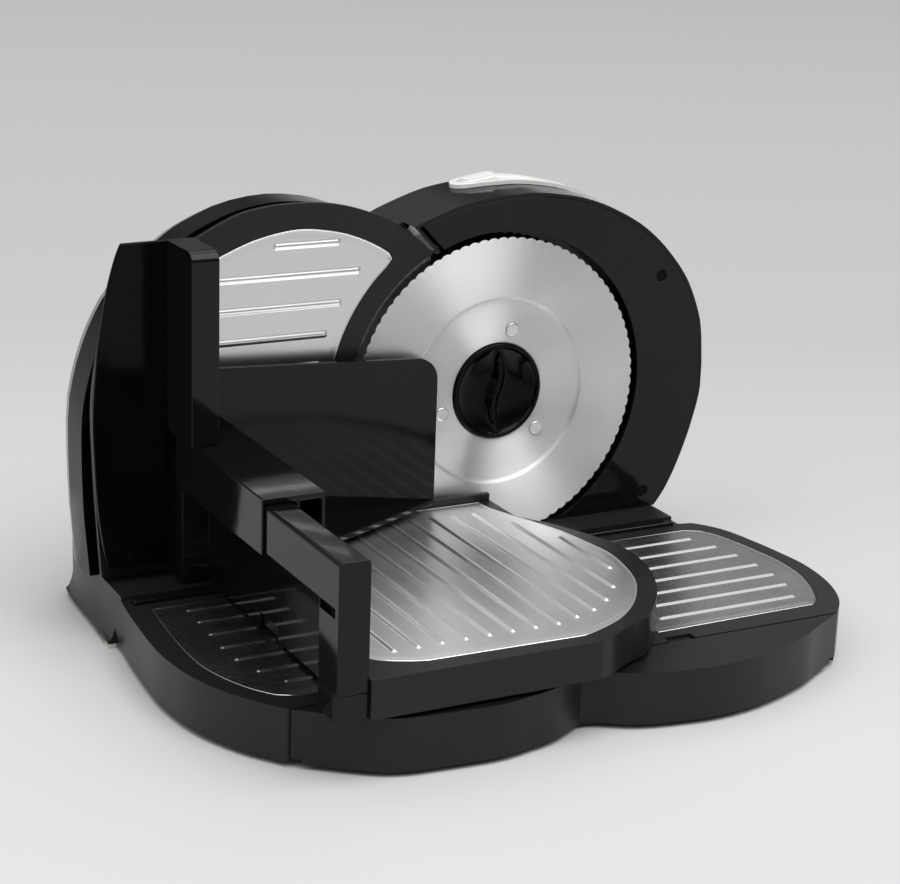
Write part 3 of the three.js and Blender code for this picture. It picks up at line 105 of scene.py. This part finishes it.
class Nodes:
    """A short way to add and link shader nodes."""

    def __init__(self, name):
        self.material = bpy.data.materials.new(name)
        self.material.use_nodes = True
        self.tree = self.material.node_tree
        self.shader = self.tree.nodes["Principled BSDF"]

    def put(self, value, socket):
        """Links an output to the socket, or gives the socket a value."""
        if isinstance(value, bpy.types.NodeSocket):
            self.tree.links.new(value, socket)
        else:
            socket.default_value = value

    def add(self, kind, inputs=None, **props):
        node = self.tree.nodes.new(kind)
        for key, value in props.items():
            setattr(node, key, value)
        for key, value in (inputs or {}).items():
            self.put(value, node.inputs[key])
        return node

    def link(self, socket, key):
        self.tree.links.new(socket, self.shader.inputs[key])

    def set(self, **values):
        for key, value in values.items():
            self.shader.inputs[key.replace("_", " ")].default_value = value

    def object_place(self):
        return self.add("ShaderNodeTexCoord").outputs["Object"]

    def split(self, vector):
        return self.add("ShaderNodeSeparateXYZ", {"Vector": vector}).outputs

    def ramp(self, fac, stops):
        node = self.add("ShaderNodeValToRGB", {"Fac": fac})
        ramp = node.color_ramp
        while len(ramp.elements) < len(stops):
            ramp.elements.new(0.5)
        for element, (place, value) in zip(ramp.elements, stops):
            element.position = place
            element.color = value if isinstance(value, tuple) else shade(value)
        return node.outputs["Color"]

    def span(self, value, low, high):
        inputs = {"Value": value, "To Min": low, "To Max": high}
        return self.add("ShaderNodeMapRange", inputs).outputs[0]

    def noise(self, vector, scale, detail=3, rough=0.55):
        inputs = {"Vector": vector, "Scale": scale, "Detail": detail, "Roughness": rough}
        return self.add("ShaderNodeTexNoise", inputs).outputs["Fac"]

    def stretched(self, vector, scale):
        return self.add("ShaderNodeMapping", {"Vector": vector, "Scale": scale}).outputs[0]

    def calc(self, kind, a, b=0.0):
        node = self.add("ShaderNodeMath", operation=kind)
        for socket, value in zip(node.inputs, (a, b)):
            self.put(value, socket)
        return node.outputs[0]

    def total(self, *pairs):
        """The sum of the products of the given pairs."""
        terms = [self.calc("MULTIPLY", a, b) for a, b in pairs]
        result = terms.pop()
        while terms:
            result = self.calc("ADD", terms.pop(), result)
        return result

    def bump(self, height, strength, distance, normal=None):
        inputs = {"Height": height, "Strength": strength, "Distance": distance}
        if normal is not None:
            inputs["Normal"] = normal
        return self.add("ShaderNodeBump", inputs).outputs[0]


def plastic(name, colour, rough, spread, grain, grain_scale, level, wear):
    """Moulded plastic: soft waviness, fine grain and edges rubbed a little lighter."""
    m = Nodes(name)
    at = m.object_place()
    cloud = m.noise(at, 14, 4)
    fine = m.noise(at, grain_scale)
    streak = m.noise(m.stretched(at, (160, 160, 18)), 3)
    pointiness = m.add("ShaderNodeNewGeometry").outputs["Pointiness"]
    edge = m.ramp(pointiness, [(0.5, 0.0), (0.56, 0.35), (0.62, 1.0)])
    base = m.ramp(cloud, [(0.3, opaque(colour, 0.8)), (0.7, opaque(colour, 1.2))])
    worn = m.add("ShaderNodeMix", {"Factor": m.calc("MULTIPLY", edge, 0.6)}, data_type="RGBA")
    m.put(base, worn.inputs["A"])
    m.put(opaque(colour, more=wear), worn.inputs["B"])
    m.link(worn.outputs["Result"], "Base Color")
    mixed = m.total((cloud, 0.5), (streak, 0.5))
    m.link(m.span(mixed, rough - spread, rough + spread), "Roughness")
    m.set(Specular_IOR_Level=level, IOR=1.5)
    wave = m.bump(cloud, 0.3, 0.0008)
    m.link(m.bump(fine, grain, 0.00012, wave), "Normal")
    return m.material


def steel(name, value, rough, brush_scale, brush, warm, streak_share, spread):
    """Brushed sheet: fine lines one way, cloudy handling marks and a light grind."""
    m = Nodes(name)
    at = m.object_place()
    lines = m.noise(m.stretched(at, brush_scale), 1, 4, 0.7)
    cloud = m.noise(at, 22, 4)
    spots = m.noise(at, 140)
    tones = [(0.0, shade(value * 0.86, warm)), (0.22, shade(value, warm))]
    m.link(m.ramp(m.total((lines, streak_share), (cloud, 0.08)), tones), "Base Color")
    mixed = m.total((lines, 0.5), (cloud, 0.35), (spots, 0.15))
    m.link(m.span(mixed, rough * 0.6, rough * 1.4), "Roughness")
    m.set(Metallic=1.0)
    if spread:
        m.set(Anisotropic=spread)
        m.link(m.add("ShaderNodeCombineXYZ", {"Y": 1.0}).outputs[0], "Tangent")
    m.link(m.bump(lines, brush, 0.00008, m.bump(cloud, 0.15, 0.0006)), "Normal")
    return m.material


def turned_steel(name, value, rough, ring_scale, spread):
    """Disc ground in rings about its own Y axis, with the fan of light that such rings give."""
    m = Nodes(name)
    at = m.object_place()
    place = m.split(at)
    x, z = place["X"], place["Z"]
    radius = m.calc("SQRT", m.total((x, x), (z, z)))
    angle = m.calc("ARCTAN2", z, x)
    ring_place = m.add("ShaderNodeCombineXYZ", {
        "X": m.calc("MULTIPLY", radius, ring_scale),
        "Y": m.calc("SINE", angle),
        "Z": m.calc("COSINE", angle),
    }).outputs[0]
    rings = m.noise(m.stretched(ring_place, (1, 1.6, 1.6)), 1, 4, 0.7)
    cloud = m.noise(at, 30, 4)
    m.link(m.ramp(rings, [(0.25, shade(value * 0.9)), (0.75, shade(value))]), "Base Color")
    mixed = m.total((rings, 0.6), (cloud, 0.4))
    m.link(m.span(mixed, rough * 0.7, rough * 1.3), "Roughness")
    m.set(Metallic=1.0, Anisotropic=spread, Anisotropic_Rotation=0.25)
    tangent = m.add("ShaderNodeTangent", direction_type="RADIAL", axis="Y")
    m.link(tangent.outputs[0], "Tangent")
    m.link(m.bump(rings, 0.12, 0.00006), "Normal")
    return m.material


def plain_metal(name, colour, rough):
    """Metal with soft clouds and a fine change in its roughness."""
    m = Nodes(name)
    at = m.object_place()
    cloud = m.noise(at, 60, 4)
    m.link(m.ramp(cloud, [(0.3, opaque(colour, 0.82)), (0.7, opaque(colour))]), "Base Color")
    m.link(m.span(m.noise(at, 400), rough * 0.7, rough * 1.3), "Roughness")
    m.set(Metallic=1.0)
    m.link(m.bump(cloud, 0.1, 0.0003), "Normal")
    return m.material


# Colour, roughness and its spread, grain and its scale, specular level, wear on the edges
PLASTICS = {
    "black_gloss": ((0.0034, 0.0036, 0.0038), 0.075, 0.03, 0.03, 2600, 0.24, 0.006),
    "black_deep": ((0.0012, 0.0012, 0.0013), 0.12, 0.04, 0.05, 2600, 0.1, 0.004),
    "black_side": ((0.0075, 0.008, 0.0088), 0.32, 0.07, 0.25, 3600, 0.27, 0.008),
    "black_satin": ((0.011, 0.011, 0.012), 0.48, 0.07, 0.4, 3000, 0.35, 0.012),
    "rubber": ((0.015, 0.015, 0.015), 0.7, 0.08, 0.5, 2400, 0.3, 0.012),
    "white_gloss": ((0.84, 0.84, 0.82), 0.2, 0.04, 0.05, 2600, 0.5, 0.0),
    "nylon": ((0.6, 0.59, 0.54), 0.45, 0.06, 0.3, 2200, 0.4, 0.0),
    "sheet_grey": ((0.35, 0.36, 0.37), 0.45, 0.06, 0.3, 1800, 0.4, 0.0),
}

# Brightness, roughness, the brushing's scale and depth, warmth, share of streaks, anisotropy
STEELS = {
    "steel": (0.72, 0.3, (30, 900, 900), 0.25, 0.01, 0.12, 0.0),
    # The carriage sheet's steel is made brighter, a painted sheen, and the tray sheets' steel on
    # the next line darker, painted shade
    "steel_tray": (0.92, 0.31, (24, 700, 700), 0.2, 0.016, 0.12, 0.35),
    "steel_dull": (0.68, 0.27, (24, 700, 700), 0.12, 0.005, 0.06, 0.0),
}

# Brightness, roughness, the rings' scale, anisotropy
TURNED_STEELS = {
    "steel_blade": (0.82, 0.52, 5200, 0.94),
}

# Colour, roughness
PLAIN_METALS = {
    "dark_steel": ((0.2, 0.2, 0.21), 0.35),
    "sunk_screw": ((0.012, 0.012, 0.013), 0.6),
    "brass": ((0.66, 0.5, 0.26), 0.3),
}

looks = {}
for make, table in (
    (plastic, PLASTICS),
    (steel, STEELS),
    (turned_steel, TURNED_STEELS),
    (plain_metal, PLAIN_METALS),
):
    for name, values in table.items():
        looks[name] = make(name, *values)


# Mesh helpers

AXES = {"x": (0, 1, 2), "y": (1, 0, 2), "z": (2, 0, 1)}  # an axis and the two across it

WELD = 2e-6  # vertices closer than this are one
COPLANAR = math.radians(0.08)  # faces that differ by less are one flat face
OUTLINE = math.radians(35)  # an edge sharper than this belongs to an outline
CORNER = math.radians(24)  # an outline that turns by more has a corner there
STRAIGHT = math.radians(0.6)  # one that turns by less runs straight on
SHORTEST = 0.0015  # a side shorter than this gets no points of its own
LONG = 2.2  # a side this many times longer than its neighbour is a straight one
BULGE = 0.055  # how far a curve may leave its side, as a share of the side's length
ON_LEVEL = 3e-5  # a face whose corners are this near a level lies on it
SAME_POINT = 1e-5  # points of an outline closer than this are one
LEAST_MITRE = 0.3  # keeps a sharp corner of an outline from running far out when it is moved

# Degrees above which an edge is shaded sharp; a skin's edges are also rounded there
CREASE = 38
SHEET_CREASE = 50
BLADE_CREASE = 40
KNOB_CREASE = 50


def new_piece(name, bm, crease, look):
    """An object from a bmesh, smooth but for edges sharper than crease in degrees, if given."""
    mesh = bpy.data.meshes.new(name)
    bm.to_mesh(mesh)
    bm.free()
    mesh.shade_smooth()
    if crease:
        mesh.set_sharp_from_angle(angle=math.radians(crease))
    mesh.materials.append(looks[look])
    obj = bpy.data.objects.new(name, mesh)
    scene.collection.objects.link(obj)
    return obj


def finish_piece(obj, node, weighted=True):
    """Puts a piece on its node's body, in its node's place."""
    if weighted:
        soften = obj.modifiers.new("normals", "WEIGHTED_NORMAL")
        soften.keep_sharp = True
        soften.weight = 80
    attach(obj, body_of_node[node])
    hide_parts(node)


def welded(node):
    """The node's mesh as a bmesh with shared vertices."""
    bm = bmesh.new()
    bm.from_mesh(nodes[node].data)
    bmesh.ops.remove_doubles(bm, verts=bm.verts, dist=WELD)
    return bm


def curved_point(before, a, b, after, t):
    """A point between a and b on the curve that runs on through its neighbours."""
    side = b - a
    run = side.length
    from_a = into_b = side
    if before is not None:
        from_a = ((a - before).normalized() + side.normalized()).normalized() * run
    if after is not None:
        into_b = ((after - b).normalized() + side.normalized()).normalized() * run
    if before is None and after is not None:
        from_a = (side * 2 - into_b).normalized() * run
    if after is None and before is not None:
        into_b = (side * 2 - from_a).normalized() * run
    chord = a.lerp(b, t)
    curve = a * (2 * t ** 3 - 3 * t ** 2 + 1) + from_a * (t ** 3 - 2 * t ** 2 + t)
    curve = curve + b * (-2 * t ** 3 + 3 * t ** 2) + into_b * (t ** 3 - t ** 2)
    away = curve - chord
    if away.length > run * BULGE:
        away *= run * BULGE / away.length
    return chord + away


def onward(vert, edge, direction, outlines):
    """Where the outline runs on past an edge's end; None at a corner or a straight side."""
    best, turn = None, CORNER
    for other in vert.link_edges:
        if other is edge or other not in outlines:
            continue
        step = other.other_vert(vert).co - vert.co
        if direction.length > step.length * LONG:
            continue
        angle = direction.angle(step, math.pi)
        if angle < turn:
            best, turn = other.other_vert(vert).co, angle
    return best


def bends(vert, direction, far):
    return far is not None and direction.angle(far - vert.co, 0) > STRAIGHT


def microns(co):
    return tuple(round(v * 1e6) for v in co)


def refine_outlines(bm, cuts):
    """Gives each curved outline more points, on a smooth curve through the ones it has."""
    # A dict keeps the edges in the mesh's order, so that each run gives the same mesh
    outlines = dict.fromkeys(
        e for e in bm.edges if len(e.link_faces) == 2 and e.calc_face_angle(0) > OUTLINE)
    goals = {}
    chosen = []
    for edge in outlines:
        if edge.calc_length() < SHORTEST:
            continue
        a, b = edge.verts
        along = b.co - a.co
        before = onward(a, edge, -along, outlines)
        after = onward(b, edge, along, outlines)
        if not bends(a, -along, before) and not bends(b, along, after):
            continue
        chosen.append(edge)
        for i in range(1, cuts + 1):
            t = i / (cuts + 1)
            key = microns(a.co.lerp(b.co, t))
            goals[key] = curved_point(before, a.co.copy(), b.co.copy(), after, t)
    if not chosen:
        return
    low = [min(v.co[k] for v in bm.verts) for k in range(3)]
    high = [max(v.co[k] for v in bm.verts) for k in range(3)]
    bmesh.ops.subdivide_edges(bm, edges=chosen, cuts=cuts, use_grid_fill=False)
    # A new vertex may round to the micron beside the one that its goal is kept under
    beside = ((0, 0, 0), (1, 0, 0), (-1, 0, 0), (0, 1, 0), (0, -1, 0), (0, 0, 1), (0, 0, -1))
    for vert in bm.verts:
        key = microns(vert.co)
        for shift in beside:
            goal = goals.get(tuple(k + s for k, s in zip(key, shift)))
            if goal is not None:
                vert.co = [min(max(goal[k], low[k]), high[k]) for k in range(3)]
                break


def shell(node, width, look, cuts=2):
    """A CAD solid's skin: smoother outlines and rounded edges."""
    bm = welded(node)
    bmesh.ops.dissolve_limit(
        bm, angle_limit=COPLANAR, verts=bm.verts, edges=bm.edges, use_dissolve_boundaries=False)
    bm.normal_update()
    # Faces with many corners are split first, so that nothing bridges a hole or notch in them
    bmesh.ops.triangulate(bm, faces=[face for face in bm.faces if len(face.verts) > 4])
    if cuts:
        refine_outlines(bm, cuts)
    obj = new_piece(node + "_skin", bm, CREASE, look)
    if width:
        bevel = obj.modifiers.new("edges", "BEVEL")
        bevel.width = width
        bevel.segments = 2
        bevel.limit_method = "ANGLE"
        bevel.angle_limit = math.radians(CREASE)
        bevel.use_clamp_overlap = True
        bevel.miter_outer = "MITER_ARC"
    finish_piece(obj, node)


def area(points):
    return sum(a[0] * b[1] - b[0] * a[1] for a, b in zip(points, points[1:] + points[:1])) / 2


def flat_loops(node, axis, level):
    """Outlines of the node's flat faces at one height, the largest first."""
    k, i, j = AXES[axis]
    bm = welded(node)
    # A dict again, for its order
    flat = dict.fromkeys(
        f for f in bm.faces if all(abs(v.co[k] - level) < ON_LEVEL for v in f.verts))
    ways = {}
    for face in flat:
        for loop in face.loops:
            if sum(f in flat for f in loop.edge.link_faces) == 1:
                ways[loop.vert.index] = (loop.vert.co.copy(), loop.link_loop_next.vert.index)
    loops = []
    while ways:
        points, at = [], next(iter(ways))
        while at in ways:
            co, after = ways.pop(at)
            points.append((co[i], co[j]))
            at = after
        loops.append(points)
    bm.free()
    return sorted(loops, key=lambda q: -abs(area(q)))


def refine_loop(points, cuts):
    """A closed outline with more points on its curved runs; straight runs and corners stay."""
    flat = [Vector(p) for p in points]
    flat = [p for i, p in enumerate(flat) if (p - flat[i - 1]).length > SAME_POINT]
    n = len(flat)
    turn = [(flat[i] - flat[i - 1]).angle(flat[(i + 1) % n] - flat[i], 0) for i in range(n)]
    out = []
    for i in range(n):
        a, b = flat[i], flat[(i + 1) % n]
        out.append(a)
        run = (b - a).length
        before, after = flat[i - 1], flat[(i + 2) % n]
        if not STRAIGHT < turn[i] < CORNER or run > (a - before).length * LONG:
            before = None
        if not STRAIGHT < turn[(i + 1) % n] < CORNER or run > (after - b).length * LONG:
            after = None
        if (before is None and after is None) or run < SHORTEST:
            continue
        for c in range(1, cuts + 1):
            out.append(curved_point(before, a, b, after, c / (cuts + 1)))
    return out


def inset(points, distance):
    """The outline moved inwards, or outwards for a negative distance."""
    side = 1 if area([tuple(p) for p in points]) > 0 else -1
    n = len(points)
    out = []
    for i in range(n):
        before = (points[i] - points[i - 1]).normalized()
        after = (points[(i + 1) % n] - points[i]).normalized()
        across = Vector((-before.y, before.x))
        normal = Vector((-before.y - after.y, before.x + after.x))
        if normal.length < 1e-6:
            normal = across.copy()
        normal.normalize()
        reach = distance / max(LEAST_MITRE, normal.dot(across))
        out.append(points[i] + normal * reach * side)
    return out


def lift(axis, height, point):
    """A flat point of an outline at a height on the axis."""
    k, i, j = AXES[axis]
    co = [0.0, 0.0, 0.0]
    co[k], co[i], co[j] = height, point[0], point[1]
    return Vector(co)


def bridge(bm, low, high):
    for i in range(len(low)):
        j = (i + 1) % len(low)
        bm.faces.new((low[i], low[j], high[j], high[i]))


def add_rings(bm, rings):
    """Bridges closed rings of equal length and returns their vertices."""
    made = [[bm.verts.new(p) for p in ring] for ring in rings]
    for low, high in zip(made, made[1:]):
        bridge(bm, low, high)
    return made


def add_cap(bm, ring, flat):
    for tri in tessellate_polygon([[Vector((p[0], p[1], 0)) for p in flat]]):
        bm.faces.new([ring[i] for i in tri])


# Pressed steel sheets

RIB_RINGS = 7  # from a rib's crest to its foot
RIB_END = 10  # points round each of its two ends
RIB_SKIRT = 0.0007  # how far its foot runs out past the CAD rib
RIB_CREST = 0.02  # the innermost ring's share of the width
RIB_SINK = 2e-5  # how far the last ring lies under the sheet

SHEET_CUTS = 3
SHEET_THICK = 0.0008
SHEET_FALL = 0.0003  # how far the border's outer side lies under the sheet
SHEET_BAND = 0.005  # width of the border that slopes up to the sheet
SLOPE = [(0.8, 0.12), (1.0, 0.0)]  # shares of the band and of the fall
BEAD = [  # place across the rounded rim and height over the fall, in millimetres
    (0.0, -0.25), (0.05, 0.05), (0.25, 0.27), (0.5, 0.34), (0.75, 0.24), (1.0, 0.04),
]


def add_rib(bm, axis, level, out, loop, height):
    """A pressed rib: a long rounded ridge that runs softly into the sheet."""
    points = [Vector(p) for p in loop]
    centre = sum(points, Vector((0, 0))) / len(points)
    far = max(points, key=lambda p: (p - centre).length)
    along = (far - centre).normalized()
    across = Vector((-along.y, along.x))
    long = [(p - centre).dot(along) for p in points]
    wide = [(p - centre).dot(across) for p in points]
    centre = centre + along * ((max(long) + min(long)) / 2)
    centre = centre + across * ((max(wide) + min(wide)) / 2)
    half, radius = (max(long) - min(long)) / 2, (max(wide) - min(wide)) / 2
    rings = []
    for j in range(RIB_RINGS):
        share = j / (RIB_RINGS - 1)
        rise = height * (0.5 + 0.5 * math.cos(math.pi * share)) ** 0.8
        if j == RIB_RINGS - 1:
            rise -= RIB_SINK
        r = (radius + RIB_SKIRT) * max(share, RIB_CREST)
        ring = []
        for start, end in ((-90, half - radius), (90, radius - half)):
            for k in range(RIB_END):
                angle = math.radians(start + 180 * k / (RIB_END - 1))
                point = centre + along * (end + r * math.cos(angle)) + across * r * math.sin(angle)
                ring.append(lift(axis, level + out * rise, point))
        rings.append(ring)
    made = add_rings(bm, rings)
    bm.faces.new(made[0])


def pressed_sheet(node, axis, level, out, look, rise):
    """A steel inlay: refined outline, rounded rim, sloping border and softly pressed ribs."""
    loops = flat_loops(node, axis, level)
    outline = refine_loop(loops[0], SHEET_CUTS)
    steps = [(0.0, level - out * SHEET_THICK)]
    steps += [(place * MM, level + out * (height * MM - SHEET_FALL)) for place, height in BEAD]
    steps += [(SHEET_BAND * share, level - out * SHEET_FALL * drop) for share, drop in SLOPE]
    outlines = [inset(outline, distance) for distance, height in steps]
    rings = []
    for points, (distance, height) in zip(outlines, steps):
        rings.append([lift(axis, height, p) for p in points])
    bm = bmesh.new()
    made = add_rings(bm, rings)
    add_cap(bm, made[-1], outlines[-1])
    low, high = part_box(node)
    k = AXES[axis][0]
    height = rise * ((high[k] - level) if out > 0 else (level - low[k]))
    for loop in loops[1:]:
        add_rib(bm, axis, level, out, loop, height)
    bmesh.ops.recalc_face_normals(bm, faces=bm.faces)
    finish_piece(new_piece(node + "_pressed", bm, SHEET_CREASE, look), node)


# Blade, rivets and knob

BLADE_TEETH = 90
BLADE_STEPS = BLADE_TEETH * 8

# Radius, how far the teeth rise over it, and depth behind the blade's face, in millimetres
BLADE_PROFILE = [
    (30.1, 0, 3.2), (30.1, 0, 2.1), (30.3, 0, 1.85), (30.8, 0, 1.8), (44, 0, 1.8),
    (56.2, 0, 1.8), (56.8, 0, 1.7), (57.4, 0, 1.2), (57.9, 0, 0.6), (58.4, 0, 0.12),
    (59, 0, 0), (70, 0, 0), (80.6, 0, 0), (81.2, 0, 0.05), (82, 0, 0.12), (88, 0, 0.45),
    (92.2, 0.8, 0.75), (93.75, 1.15, 0.95), (93.75, 1.15, 1.15), (88, 0, 1.4), (60, 0, 1.4),
    (57.5, 0, 3.2),
]

RIVET_STEPS = 40

# Share of the rivet's radius, and depth in metres
RIVET_PROFILE = [
    (0.001, 0.0), (0.55, 0.0), (0.8, 0.00006), (0.93, 0.0002), (1.0, 0.00045), (1.0, 0.0009),
]

KNOB_STEPS = 96
KNOB_RINGS = 22  # across the scooped face

# The knob's scooped face, in millimetres
BOWL_RADIUS = 27.0
BOWL_RIM = 1.2  # depth at its rim
BOWL_DEPTH = 5.2  # how much deeper its middle is
RIDGE_HEIGHT = 5.1
RIDGE_SWING = 3.0  # how far the S swings to each side
RIDGE_TURN = 24  # how far along the ridge it has swung back
RIDGE_FADE = 40  # how far along its swing has faded out
RIDGE_WIDTH = 2.6
RIDGE_SWELL = 1.4  # how much wider it is in the middle

# Radius and depth of the cup's back, wall and rounded rim, in millimetres
KNOB_PROFILE = [
    (8.0, 20.0), (8.0, 11.5), (29.0, 11.5), (29.6, 11.0), (29.6, 0.8), (29.4, 0.3),
    (28.9, 0.04), (28.2, 0.0), (27.6, 0.1), (27.2, 0.5), (27.0, 1.2),
]


def turned_ring(steps, point, unit=MM):
    """A ring about the Y axis, where point gives the radius and the depth at an angle."""
    ring = []
    for i in range(steps):
        angle = 2 * math.pi * i / steps
        radius, depth = point(angle)
        ring.append(Vector((radius * math.cos(angle), depth, radius * math.sin(angle))) * unit)
    return ring


def toothed(radius, rise, angle):
    return radius + rise * abs(math.sin(angle * BLADE_TEETH / 2)) ** 0.8


def make_blade():
    """Serrated disc with its two pressed steps, turned about its own axis."""
    bm = bmesh.new()
    made = add_rings(bm, [
        turned_ring(BLADE_STEPS, lambda angle: (toothed(radius, rise, angle), depth))
        for radius, rise, depth in BLADE_PROFILE])
    bridge(bm, made[-1], made[0])
    bmesh.ops.recalc_face_normals(bm, faces=bm.faces)
    obj = new_piece("blade_disc", bm, BLADE_CREASE, "steel_blade")
    obj.location = BLADE
    finish_piece(obj, "blade", weighted=False)


def make_rivet(node):
    low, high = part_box(node)
    radius = (high[0] - low[0]) / 2
    bm = bmesh.new()
    made = add_rings(bm, [
        turned_ring(RIVET_STEPS, lambda angle: (radius * share, depth), unit=1.0)
        for share, depth in RIVET_PROFILE])
    bm.faces.new(made[0])
    bmesh.ops.recalc_face_normals(bm, faces=bm.faces)
    obj = new_piece(node + "_head", bm, None, "steel")
    obj.location = ((low[0] + high[0]) / 2, low[1], (low[2] + high[2]) / 2)
    finish_piece(obj, node, weighted=False)


def scooped(radius, angle):
    """Depth of the knob's face: a round bowl, less a ridge that runs in an S."""
    x, z = radius * math.cos(angle), radius * math.sin(angle)
    share = radius / BOWL_RADIUS
    crest = RIDGE_SWING * math.sin(math.pi * z / RIDGE_TURN) * (1 - abs(z) / RIDGE_FADE)
    width = RIDGE_WIDTH + RIDGE_SWELL * math.cos(z / 11)
    ridge = RIDGE_HEIGHT * math.exp(-((abs(x - crest) / width) ** 2)) * (1 - share ** 8)
    return BOWL_RIM + BOWL_DEPTH * (1 - share ** 3.2) - ridge


def make_knob():
    """Cup with a rounded rim and two scooped hollows that leave an S-shaped ridge."""
    rings = [turned_ring(KNOB_STEPS, lambda angle: place) for place in KNOB_PROFILE]
    for i in range(1, KNOB_RINGS):
        radius = BOWL_RADIUS * (1 - i / KNOB_RINGS) + 0.01
        rings.append(turned_ring(KNOB_STEPS, lambda angle: (radius, scooped(radius, angle))))
    bm = bmesh.new()
    made = add_rings(bm, rings)
    bm.faces.new(made[-1])
    bm.faces.new(made[0])
    bmesh.ops.recalc_face_normals(bm, faces=bm.faces)
    obj = new_piece("centre_knob_cup", bm, KNOB_CREASE, "black_deep")
    obj.location = BLADE
    finish_piece(obj, "centre_knob", weighted=False)


make_blade()
for i in (1, 2, 3):
    make_rivet(f"blade_rivet_{i}")
make_knob()


# Steel inlays: the axis, place and side of the sheet's face, its look, and the height of
# its ribs as a share of the CAD ribs'

for sheet in (
    # The carriage sheet takes the brighter steel, a painted sheen, and the two tray sheets the
    # darker one, painted shade
    ("carriage_inlay", "z", 0.0568, 1, "steel_tray", 0.85),
    ("tray_inlay_left", "z", 0.0327, 1, "steel_dull", 0.65),
    ("tray_inlay_right", "z", 0.0327, 1, "steel_dull", 0.65),
    ("gauge_inlay", "y", BLADE.y + 0.002, -1, "steel", 1.0),
):
    pressed_sheet(*sheet)


# Skins: the width of their rounded edges, and their look

for skin in (
    ("base_rear", 0.0008, "black_side"),
    ("base_front", 0.0008, "black_side"),
    ("motor_housing", 0.0007, "black_gloss"),
    ("blade_guard", 0.0006, "black_gloss"),
    ("motor_rear_cover", 0.0008, "black_side"),
    ("left_housing", 0.0008, "black_deep"),
    ("gauge_plate", 0.0008, "black_side"),
    ("carriage_tray", 0.0008, "black_side"),
    ("carriage_frame", 0.0005, "black_gloss"),
    ("pusher_rail", 0.0006, "black_gloss"),
    ("pusher_block", 0.0007, "black_gloss"),
    ("hand_grip", 0.0009, "black_gloss"),
    ("finger_shield", 0.0006, "black_deep"),
    ("pusher_plate", 0.0007, "black_gloss"),
    ("pusher_brace", 0.0006, "black_gloss"),
    ("thickness_dial", 0.0006, "black_satin"),
    ("guide_rail", 0.0006, "black_gloss"),
    ("switch_trim", 0.0009, "white_gloss"),
    ("blade_gear", 0.0, "nylon"),
    ("gauge_strip", 0.0001, "dark_steel"),
):
    shell(*skin)
shell("power_button", 0.0009, "white_gloss", cuts=0)


# The other nodes keep their CAD shape and take the look of their slot

for node, obj in nodes.items():
    if not obj.hide_render:
        look = "sunk_screw" if node.startswith("guard_screw") else slot_of_node[node]
        obj.data.materials.clear()
        obj.data.materials.append(looks[look])


# Floor, background and light

FLOOR_HALF = 40  # metres from its middle to its sides
FLOOR_AWAY = (0.47, 0.882)  # away from the camera's side, in X and Y
FLOOR_FADE = (-0.75, 3.4)  # where its tones start and end along that way
# Tones along that way, a painted falloff of light: pale on the camera's side, greyer away from it
FLOOR_TONES = [(0.0, 0.6), (0.15, 0.6), (0.35, 0.455), (1.0, 0.375)]

# Height in the sky, from the horizon at 0 to overhead at 1, and brightness
SKY_TONES = [(0.06, 0.48), (0.2, 0.19), (0.3, 0.09), (0.52, 0.45), (0.9, 0.75)]
SKY_TINT = (1, 1.005, 1.015)

# Name, the direction it comes from, spread in degrees, power
SUNS = [
    ("key", (0.15, -0.4, 0.9), 58, 2.3),
    ("rim", (0.45, 0.5, 0.75), 35, 0.15),
    ("left", (-0.8, -0.2, 0.75), 40, 0.5),
]


def make_floor():
    """Pale floor that turns greyer away from the camera's side, a painted falloff of light."""
    m = Nodes("floor")
    place = m.split(m.object_place())
    away = m.total((place["X"], FLOOR_AWAY[0]), (place["Y"], FLOOR_AWAY[1]))
    fade = {"Value": away, "From Min": FLOOR_FADE[0], "From Max": FLOOR_FADE[1]}
    share = m.add("ShaderNodeMapRange", fade).outputs[0]
    m.link(m.ramp(share, FLOOR_TONES), "Base Color")
    m.set(Roughness=0.7, Specular_IOR_Level=0.1)
    bm = bmesh.new()
    bmesh.ops.create_grid(bm, x_segments=2, y_segments=2, size=FLOOR_HALF)
    mesh = bpy.data.meshes.new("floor")
    bm.to_mesh(mesh)
    bm.free()
    mesh.materials.append(m.material)
    obj = bpy.data.objects.new("floor", mesh)
    scene.collection.objects.link(obj)


def make_world():
    """Soft room: pale at the horizon, dim above it and brighter overhead."""
    world = bpy.data.worlds.new("studio")
    scene.world = world
    world.use_nodes = True
    tree = world.node_tree
    around = tree.nodes.new("ShaderNodeTexCoord")
    split = tree.nodes.new("ShaderNodeSeparateXYZ")
    ramp = tree.nodes.new("ShaderNodeValToRGB")
    tree.links.new(around.outputs["Generated"], split.inputs[0])
    tree.links.new(split.outputs["Z"], ramp.inputs["Fac"])
    tree.links.new(ramp.outputs["Color"], tree.nodes["Background"].inputs["Color"])
    for place, _ in SKY_TONES[1:-1]:
        ramp.color_ramp.elements.new(place)
    for element, (place, value) in zip(ramp.color_ramp.elements, SKY_TONES):
        element.position = place
        element.color = (*(value * tint for tint in SKY_TINT), 1)
    tree.nodes["Background"].inputs["Strength"].default_value = 1.0


def make_sun(name, source, spread, power):
    light = bpy.data.lights.new(name, "SUN")
    light.energy = power
    light.angle = math.radians(spread)
    obj = bpy.data.objects.new(name, light)
    obj.rotation_euler = Vector(source).to_track_quat("Z", "Y").to_euler()
    scene.collection.objects.link(obj)


make_floor()
make_world()
for sun in SUNS:
    make_sun(*sun)
